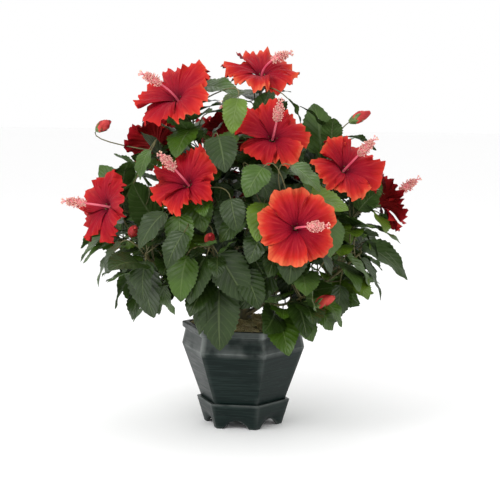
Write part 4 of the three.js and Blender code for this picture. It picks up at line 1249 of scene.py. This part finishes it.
def build_moss_fibres(settings):
    """A tangle of curly fibres over the mound, in three tones.

    A fibre is a row of equal steps that turn by small draws and by a steady bend of its own. It
    stays inside the planter, and rises from the mound in an arch."""
    draw = np.random.default_rng(SEEDS["moss"])
    tones = (settings.colour, settings.light, settings.shade)
    count, steps = settings.fibres // len(tones), FIBRE["steps"]
    for part, tone in enumerate(tones):
        turn = draw.uniform(0, 2 * math.pi, count)
        start = np.sqrt(draw.random(count)) * 0.97 * MOSS_REACH * hexagon_reach(turn)
        heading = draw.uniform(0, 2 * math.pi, count)[:, None] + np.cumsum(
            draw.normal(0, FIBRE["turn"], (count, steps))
            + draw.uniform(-FIBRE["bend"], FIBRE["bend"], (count, 1)), 1)
        step = draw.uniform(*FIBRE["step"], (count, 1))
        x = (start * np.cos(turn))[:, None] + np.cumsum(np.cos(heading) * step, 1)
        y = (start * np.sin(turn))[:, None] + np.cumsum(np.sin(heading) * step, 1)
        far, way = np.hypot(x, y), np.arctan2(y, x)
        far = np.minimum(far, (MOSS_REACH - 1.2) * hexagon_reach(way))
        place = np.arange(steps) / (steps - 1)
        rise = draw.uniform(*FIBRE["arch"], (count, 1)) * np.sin(math.pi * place) + np.abs(
            draw.normal(0.6, 0.7, (count, 1)))
        lines = np.stack((far * np.cos(way), far * np.sin(way), moss_height(far, way) + rise), -1)
        fibres = Batch()
        radii = draw.uniform(*FIBRE["radius"], (count, 1)) * np.ones((1, steps))
        fibres.tubes(lines, radii, 3)
        material = plain_material("moss_fibre_%d" % part, tone, settings.colour, 90.0, 0.85)
        show(fibres, "moss_fibres_%d" % part, material, ["moss_fill"])


# ---- Planter

# How far corners and edges are rounded, and how many places divide a corner and a flat
CORNER, EDGE = 1.3, 1.1
CORNER_PLACES, FLAT_PLACES = 5, 12
# Paleness of the corners above and below the shoulder, and of the strip over it: above the
# shoulder the corners show wearing and a painted highlight, and the strip is a painted reflection
# of the bright surroundings
TOP_WEAR_AND_HIGHLIGHT, SIDE_WEAR, BAND_REFLECTION = 0.9, 0.12, 0.22


def hexagon_ring(radii):
    """Rings round a hexagon with rounded corners, one for each radius; and how near each place
    is to a corner. A corner is an arc about a centre on the line to the sharp corner; between
    arcs the flats are divided evenly."""
    radii = np.asarray(radii, float)[:, None]
    corner = np.minimum(CORNER, radii * 0.4)
    centre = radii - corner / FLAT_TO_CORNER

    def arc(middle, turn):
        return np.stack((centre * math.cos(middle) + corner * np.cos(turn),
                         centre * math.sin(middle) + corner * np.sin(turn)), -1)

    places, near = [], []
    spread = np.linspace(-HALF_SIDE, HALF_SIDE, CORNER_PLACES)
    part = (np.arange(1, FLAT_PLACES + 1) / (FLAT_PLACES + 1))[:, None]
    for side in range(SIDES):
        middle = FRONT + HALF_SIDE + side * SIDE_TURN
        after = middle + SIDE_TURN
        places.append(arc(middle, middle + spread))
        start, end = places[-1][:, -1:], arc(after, after - HALF_SIDE)
        places.append(start + (end - start) * part)
        near.append(np.ones(CORNER_PLACES))
        near.append(np.exp(-np.minimum(part, 1 - part)[:, 0] * 40))
    return np.concatenate(places, 1), np.concatenate(near)


def rounded(profile, steps):
    """A profile of (radius, height, paleness of its edge) with its corners cut by arcs of a few
    steps: each is a quadratic curve from a little before the corner to a little after it."""
    profile = np.array(profile, float)
    out = [profile[:1]]
    for before, here, after in zip(profile, profile[1:], profile[2:]):
        ends = []
        for other in (before, after):
            length = np.linalg.norm(other[:2] - here[:2])
            ends.append(mix(here, other, min(0.4, EDGE / max(length, 1e-6))))
        curve = bezier([ends[0], here, ends[1]], np.linspace(0, 1, steps))
        curve[:, 2] = here[2]
        curve[0, 2] = curve[-1, 2] = here[2] * 0.6
        out.append(curve)
    out.append(profile[-1:])
    return np.concatenate(out)


def hexagonal_piece(profile, height_of=None):
    """A closed hexagonal piece of revolution from its profile, pole to pole, with its pale edges.
    """
    batch = Batch()
    ring, near = hexagon_ring(profile[1:-1, 0])
    height = np.broadcast_to(profile[1:-1, 1:2], ring.shape[:2])
    if height_of:
        height = height_of(ring, height)
    # Corners above the shoulder are pale from wearing and a painted highlight, and the strip over
    # the shoulder is a painted reflection of the bright surroundings
    above = profile[1:-1, 1:2] - POT["shoulder_height"]
    worn_and_lit = np.where(above > -4, TOP_WEAR_AND_HIGHLIGHT, SIDE_WEAR)
    band_reflection = np.where((above > 1) & (above < 20), BAND_REFLECTION, 0)
    wear = np.maximum(np.maximum(profile[1:-1, 2:3], band_reflection), near[None] * worn_and_lit)
    places = np.concatenate((ring, height[..., None]), -1)
    number = batch.points(places, value=wear).reshape(places.shape[:2])
    batch.faces(np.concatenate((number, number[:, :1]), 1)[::-1])
    poles = batch.points([(0, 0, profile[0, 1]), (0, 0, profile[-1, 1])])
    batch.fan(number[0], poles[0], flip=True)
    batch.fan(number[-1], poles[1])
    return batch


def finely(profile, most):
    """The profile with places added so that no step is longer than a given length."""
    out = [profile[:1]]
    for a, b in zip(profile, profile[1:]):
        count = max(1, math.ceil(np.linalg.norm(b[:2] - a[:2]) / most))
        steps = mix(a, b, (np.arange(1, count + 1) / count)[:, None])
        if count > 1:
            steps[:-1, 2] = 0
        out.append(steps)
    return np.concatenate(out)


def pot_radius(height):
    """The body's corner radius at a height, on a straight line from its waist to its shoulder."""
    slope = ((POT["shoulder_radius"] - POT["waist_radius"])
             / (POT["shoulder_height"] - POT["waist_height"]))
    return POT["waist_radius"] + (height - POT["waist_height"]) * slope


def build_pot(material):
    """Tapering body, shoulder, sunk neck and rolled lip, and the inner side down to the floor."""
    bottom = FOOT["plate_top"] + GAP
    wall = POT["wall"] / FLAT_TO_CORNER
    lip, top, inside = POT["lip_radius"], POT["height"], POT["neck_radius"] - wall
    # The third value of each row is the paleness of an edge: wearing, and a painted highlight
    profile = [
        (0, bottom, 0), (pot_radius(bottom), bottom, 0),
        (POT["shoulder_radius"], POT["shoulder_height"], 0.6),
        (POT["neck_radius"], POT["neck_height"], 0.25), (lip, POT["lip_height"], 0.4),
        (lip, top, 0.55), (inside, top, 0.3), (inside, POT["neck_height"], 0),
        (POT["shoulder_radius"] - wall, POT["shoulder_height"], 0),
        (pot_radius(bottom + POT["wall"]) - wall, bottom + POT["wall"], 0),
        (0, bottom + POT["wall"], 0),
    ]
    batch = hexagonal_piece(finely(rounded(profile, 4), 7.0))
    show(batch, "planter_body", material, ["planter"], "wear")


def arch_height(x):
    """Height of the arch's outline over its middle line, by distance x from it: the two cubic
    curves of the source, read off at many places."""
    half = ARCH["width"] / 2
    curve = bezier([(half, 0.5), (half * 0.9, 1.5), (half * 0.65, ARCH["height"]),
                    (0, ARCH["height"])], np.linspace(0, 1, 60))
    return np.interp(np.abs(x), curve[::-1, 0], curve[::-1, 1], right=0.0)


def build_foot(material):
    """Flared skirt with one low arch in each side, a plate under the pot and a ring round it."""
    wall = FOOT["wall"] / FLAT_TO_CORNER
    plate = FOOT["plate_top"] - FOOT["plate"]

    def skirt(height):
        return mix(FOOT["base_radius"], FOOT["top_radius"], height / FOOT["height"])

    # The third value of each row is the paleness of an edge: wearing, and a painted highlight
    profile = [
        (0, plate, 0), (skirt(plate) - wall, plate, 0), (skirt(0) - wall, 0, 0.3),
        (skirt(0), 0, 0.3), (skirt(12), 12, 0), (skirt(FOOT["height"]), FOOT["height"], 0.45),
        (pot_radius(FOOT["height"]) + 0.6, FOOT["height"], 0.3),
        (pot_radius(FOOT["plate_top"]) + 0.6, FOOT["plate_top"], 0), (0, FOOT["plate_top"], 0),
    ]
    profile = finely(rounded(profile, 3), 4.0)

    def lifted(ring, height):
        """Heights raised by the arch over each side's middle, fully at the foot, not at all at
        the plate."""
        turns = FRONT + np.arange(SIDES) * SIDE_TURN
        along = np.stack((-np.sin(turns), np.cos(turns)), 1)
        out = np.stack((np.cos(turns), np.sin(turns)), 1)
        face = (ring @ out.T).argmax(-1)
        arch = arch_height((ring * along[face]).sum(-1))
        return height + arch * np.clip(1 - height / (plate - 1), 0, 1)

    batch = hexagonal_piece(profile, lifted)
    show(batch, "planter_base", material, ["planter_foot"], "wear")


# ---- Settings, operators and panel

def colour_property(name, description, *levels):
    return bpy.props.FloatVectorProperty(
        name=name, description=description, subtype="COLOR", size=4, min=0, max=1,
        default=srgb(*levels))


def factor_property(name, description, value, most=1.0):
    return bpy.props.FloatProperty(
        name=name, description=description, subtype="FACTOR", min=0, max=most, default=value)


def length_property(name, description, value, least, most):
    return bpy.props.FloatProperty(
        name=name, description=description, unit="LENGTH", subtype="DISTANCE", min=least,
        max=most, default=value)


def power_property(name, description, value):
    return bpy.props.FloatProperty(
        name=name, description=description, unit="POWER", min=0, default=value)


def count_property(name, description, value, least, most):
    return bpy.props.IntProperty(
        name=name, description=description, min=least, max=most, default=value)


class HibiscusLeafSettings(bpy.types.PropertyGroup):
    dark: colour_property("Dark", "Darkest leaf green", 35, 55, 11)
    middle: colour_property("Middle", "Usual leaf green", 57, 85, 15)
    fresh: colour_property("Fresh", "Green of the young leaves", 86, 113, 25)
    # A duller green: a painted sheen in the leaves' colour
    grey: colour_property("Grey", "Green of the dusty leaves", 69, 95, 39)
    under: colour_property("Underside", "Colour of the leaves' undersides", 63, 90, 33)
    vein: factor_property("Veins", "How far the veins stand out", 0.19)
    gloss: factor_property("Roughness", "Roughness of the upper side", 0.36)
    wave: length_property("Wave", "Height of the waves along the edges", 0.003, 0, 0.01)
    teeth: factor_property("Teeth", "Depth of the teeth as a part of the width", 0.07, 0.3)
    thickness: length_property("Thickness", "Thickness of a leaf", 0.0005, 0.0001, 0.002)
    extra: count_property("Fine Leaves", "Smaller leaves tried in each spray", 22, 0, 60)
    twig_radius: length_property("Stalk Radius", "Radius of a leaf stalk", 0.0011, 0.0003, 0.003)
    twig: colour_property("Stalk", "Colour of the leaf stalks", 84, 82, 48)
    twig_light: colour_property("Stalk Light", "Lighter tone of the stalks", 112, 104, 64)


class HibiscusStemSettings(bpy.types.PropertyGroup):
    stem: colour_property("Stem", "Colour of the stems", 72, 70, 44)
    stem_light: colour_property("Stem Light", "Lighter tone of the stems", 104, 94, 62)


class HibiscusBloomSettings(bpy.types.PropertyGroup):
    heart: colour_property("Heart", "Colour at the throat", 104, 0, 30)
    inner: colour_property("Inner", "Crimson next to the throat", 136, 0, 30)
    petal: colour_property("Petal", "Main red of the petals", 156, 4, 24)
    edge: colour_property("Edge", "Orange towards the rim", 188, 36, 28)
    tip: colour_property("Rim", "Orange of the rim", 222, 106, 66)
    # Lighter streaks on the petals: a painted sheen
    crest_sheen: colour_property("Crests", "Lighter rays on the petals", 212, 74, 62)
    # Darker red of the backs: painted shade
    back: colour_property("Back", "Colour of the petals' backs", 126, 12, 16)
    bud: colour_property("Bud", "Red of the furled buds", 160, 16, 26)
    bud_light: colour_property("Bud Light", "Lighter folds of the buds", 204, 66, 54)
    ruffle: length_property("Ruffle", "Height of the ruffles at the rim", 0.005, 0, 0.012)
    thickness: length_property("Thickness", "Thickness of a petal", 0.0005, 0.0001, 0.002)
    calyx: colour_property("Calyx", "Green of the calyx", 78, 104, 50)
    calyx_light: colour_property("Calyx Light", "Lighter green of it", 112, 132, 72)
    threads: count_property("Threads", "Threads in a brush of stamens", 260, 8, 400)
    column: colour_property("Column", "Pink of the stamen column", 228, 112, 128)
    column_root: colour_property("Column Root", "Deeper pink of it", 200, 52, 84)
    thread: colour_property("Thread", "Pink of the threads", 236, 156, 154)
    grain: colour_property("Grain", "Colour of the pollen", 244, 196, 176)
    pad: colour_property("Pad", "Pale pads at the tip", 246, 206, 176)


class HibiscusMossSettings(bpy.types.PropertyGroup):
    colour: colour_property("Moss", "Main tan of the moss", 214, 194, 144)
    light: colour_property("Light", "Lighter fibres", 242, 230, 190)
    shade: colour_property("Shade", "Darker fibres", 160, 142, 100)
    fibres: count_property("Fibres", "Curly fibres on the mound", 1500, 0, 4000)


class HibiscusPlanterSettings(bpy.types.PropertyGroup):
    colour: colour_property("Planter", "Charcoal of the planter", 14, 26, 24)
    brushed: colour_property("Brushed", "Tone of the brushed lines", 28, 41, 38)
    scuff: colour_property("Scuffs", "Tone of the light scuffs", 64, 72, 70)
    # Pale tone of the edges: wearing, brightened as a painted highlight
    rubbed_and_lit: colour_property("Rubbed", "Tone of the rubbed edges", 126, 131, 128)
    roughness: factor_property("Roughness", "Roughness of the faces", 0.3)


class HibiscusStageSettings(bpy.types.PropertyGroup):
    floor: colour_property("Floor", "Colour of the floor", 252, 252, 252)
    key: power_property("Key Light", "Power of the main soft light", 12.0)
    fill: power_property("Fill Light", "Power of the filling light", 13.0)
    rim: power_property("Rim Light", "Power of the light from behind", 4.0)
    world: bpy.props.FloatProperty(
        name="Surroundings", description="Brightness of the surroundings", min=0, default=1.0)


class HibiscusOperator:
    """What the operators share: they can be undone."""
    bl_options = {"REGISTER", "UNDO"}


class HIBISCUS_OT_stems(HibiscusOperator, bpy.types.Operator):
    """Build the main stem and the boughs"""
    bl_idname = "hibiscus.stems"
    bl_label = "Stems"

    def execute(self, context):
        build_stems(growth_of(context.scene), context.scene.hibiscus_stems)
        return {"FINISHED"}


class HIBISCUS_OT_twigs(HibiscusOperator, bpy.types.Operator):
    """Build the shoots and leaf stalks"""
    bl_idname = "hibiscus.twigs"
    bl_label = "Twigs"

    def execute(self, context):
        build_twigs(growth_of(context.scene), context.scene.hibiscus_leaves)
        return {"FINISHED"}


class HIBISCUS_OT_leaves(HibiscusOperator, bpy.types.Operator):
    """Build the leaves, one piece for each tone"""
    bl_idname = "hibiscus.leaves"
    bl_label = "Leaves"

    def execute(self, context):
        build_leaves(growth_of(context.scene), context.scene.hibiscus_leaves)
        return {"FINISHED"}


class HIBISCUS_OT_blooms(HibiscusOperator, bpy.types.Operator):
    """Build the petals, calyxes, stamens and buds"""
    bl_idname = "hibiscus.blooms"
    bl_label = "Blooms"

    def execute(self, context):
        for build in (build_petals, build_calyxes, build_stamens, build_buds):
            build(growth_of(context.scene), context.scene.hibiscus_blooms)
        return {"FINISHED"}


class HIBISCUS_OT_moss(HibiscusOperator, bpy.types.Operator):
    """Build the moss in the planter"""
    bl_idname = "hibiscus.moss"
    bl_label = "Moss"

    def execute(self, context):
        build_moss_mound(context.scene.hibiscus_moss)
        build_moss_fibres(context.scene.hibiscus_moss)
        return {"FINISHED"}


class HIBISCUS_OT_planter(HibiscusOperator, bpy.types.Operator):
    """Build the six-sided planter and its foot"""
    bl_idname = "hibiscus.planter"
    bl_label = "Planter"

    def execute(self, context):
        material = planter_material(context.scene.hibiscus_planter)
        build_pot(material)
        build_foot(material)
        return {"FINISHED"}


# Camera: a pinhole at the photograph's viewing angle, given by the place that it looks at on the
# plant's axis, how far that lies right of the image's middle, its distance and the image's width
CAMERA = dict(azimuth=10.9, elevation=7.94, height=0.257, aside=0.01054, distance=2.57,
              width=0.732, sensor=36.0)
# Lights: azimuth and elevation in degrees, distance and size; and the place that they look at
LIGHTS = dict(key=(-34, 36, 1.7, 0.9), fill=(24, 30, 3.0, 1.6), rim=(170, 50, 1.8, 1.0))
LIGHTS_AIM = (0, 0, 0.28)
FLOOR_REACH = 6.0


def camera_axes(azimuth, elevation):
    """Unit vectors to the right of a view, up it, and back towards the viewer."""
    a, e = azimuth * DEGREE, elevation * DEGREE
    right = np.array((math.cos(a), math.sin(a), 0.0))
    back = np.array((math.sin(a) * math.cos(e), -math.cos(a) * math.cos(e), math.sin(e)))
    return right, np.cross(back, right), back


def placement(right, up, back, place):
    """The matrix that turns an object's x, y and z axes to the three vectors and moves it."""
    rows = np.column_stack((right, up, back, place)).tolist()
    return Matrix(rows + [[0, 0, 0, 1]])


def soft_light(name, azimuth, elevation, distance, size, power):
    """A square area light that looks at the lights' aim from an azimuth and elevation."""
    right, up, back = camera_axes(azimuth, elevation)
    data = bpy.data.lights.new(name, "AREA")
    data.shape, data.size, data.energy = "SQUARE", size, power
    lamp = bpy.data.objects.new(name, data)
    lamp.matrix_world = placement(right, up, back, np.array(LIGHTS_AIM) + back * distance)
    bpy.context.scene.collection.objects.link(lamp)


def build_floor(scene, colour):
    """A pale level square, far larger than the view."""
    data = bpy.data.meshes.new("floor")
    corners = [(FLOOR_REACH * x, FLOOR_REACH * y, 0) for x, y in
               ((-1, -1), (1, -1), (1, 1), (-1, 1))]
    data.from_pydata(corners, [], [(0, 1, 2, 3)])
    data.materials.append(plain_material("floor_pale", colour, colour, 3.0, 0.7))
    floor = bpy.data.objects.new("floor", data)
    scene.collection.objects.link(floor)


def build_camera(scene):
    """The photograph's view, with the lens that fits the image's width at its distance."""
    right, up, back = camera_axes(CAMERA["azimuth"], CAMERA["elevation"])
    data = bpy.data.cameras.new("camera")
    data.sensor_width = CAMERA["sensor"]
    data.lens = CAMERA["sensor"] * CAMERA["distance"] / CAMERA["width"]
    camera = bpy.data.objects.new("camera", data)
    place = (np.array((0, 0, CAMERA["height"])) + right * CAMERA["aside"]
             + back * CAMERA["distance"])
    camera.matrix_world = placement(right, up, back, place)
    scene.collection.objects.link(camera)
    scene.camera = camera


class HIBISCUS_OT_stage(HibiscusOperator, bpy.types.Operator):
    """Build the floor, the lights and the camera"""
    bl_idname = "hibiscus.stage"
    bl_label = "Stage"

    def execute(self, context):
        scene, settings = context.scene, context.scene.hibiscus_stage
        build_floor(scene, settings.floor)
        world = bpy.data.worlds.new("studio")
        world.use_nodes = True
        background = world.node_tree.nodes["Background"]
        background.inputs[0].default_value = (1, 1, 1, 1)
        background.inputs[1].default_value = settings.world
        scene.world = world
        scene.view_settings.view_transform = "Standard"
        for name, place in LIGHTS.items():
            soft_light(name, *place, getattr(settings, name))
        build_camera(scene)
        return {"FINISHED"}


GROUPS = {
    "hibiscus_leaves": HibiscusLeafSettings,
    "hibiscus_stems": HibiscusStemSettings,
    "hibiscus_blooms": HibiscusBloomSettings,
    "hibiscus_moss": HibiscusMossSettings,
    "hibiscus_planter": HibiscusPlanterSettings,
    "hibiscus_stage": HibiscusStageSettings,
}
OPERATORS = (
    HIBISCUS_OT_planter, HIBISCUS_OT_moss, HIBISCUS_OT_stems, HIBISCUS_OT_twigs,
    HIBISCUS_OT_leaves, HIBISCUS_OT_blooms, HIBISCUS_OT_stage,
)


class HIBISCUS_PT_panel(bpy.types.Panel):
    """Lists the settings and the operators"""
    bl_label = "Silk Hibiscus Bush"
    bl_space_type = "VIEW_3D"
    bl_region_type = "UI"
    bl_category = "Hibiscus"

    def draw(self, context):
        for operator in OPERATORS:
            self.layout.operator(operator.bl_idname)
        for name, group in GROUPS.items():
            box = self.layout.box()
            for setting in group.__annotations__:
                box.prop(getattr(context.scene, name), setting)


CLASSES = (*GROUPS.values(), *OPERATORS, HIBISCUS_PT_panel)


def register():
    for kind in CLASSES:
        bpy.utils.register_class(kind)
    for name, group in GROUPS.items():
        setattr(bpy.types.Scene, name, bpy.props.PointerProperty(type=group))


def unregister():
    for name in GROUPS:
        delattr(bpy.types.Scene, name)
    for kind in reversed(CLASSES):
        bpy.utils.unregister_class(kind)


def main():
    register()
    bpy.ops.hibiscus.planter()
    bpy.ops.hibiscus.moss()
    bpy.ops.hibiscus.stems()
    bpy.ops.hibiscus.twigs()
    bpy.ops.hibiscus.leaves()
    bpy.ops.hibiscus.blooms()
    bpy.ops.hibiscus.stage()


if __name__ == "__main__":
    main()
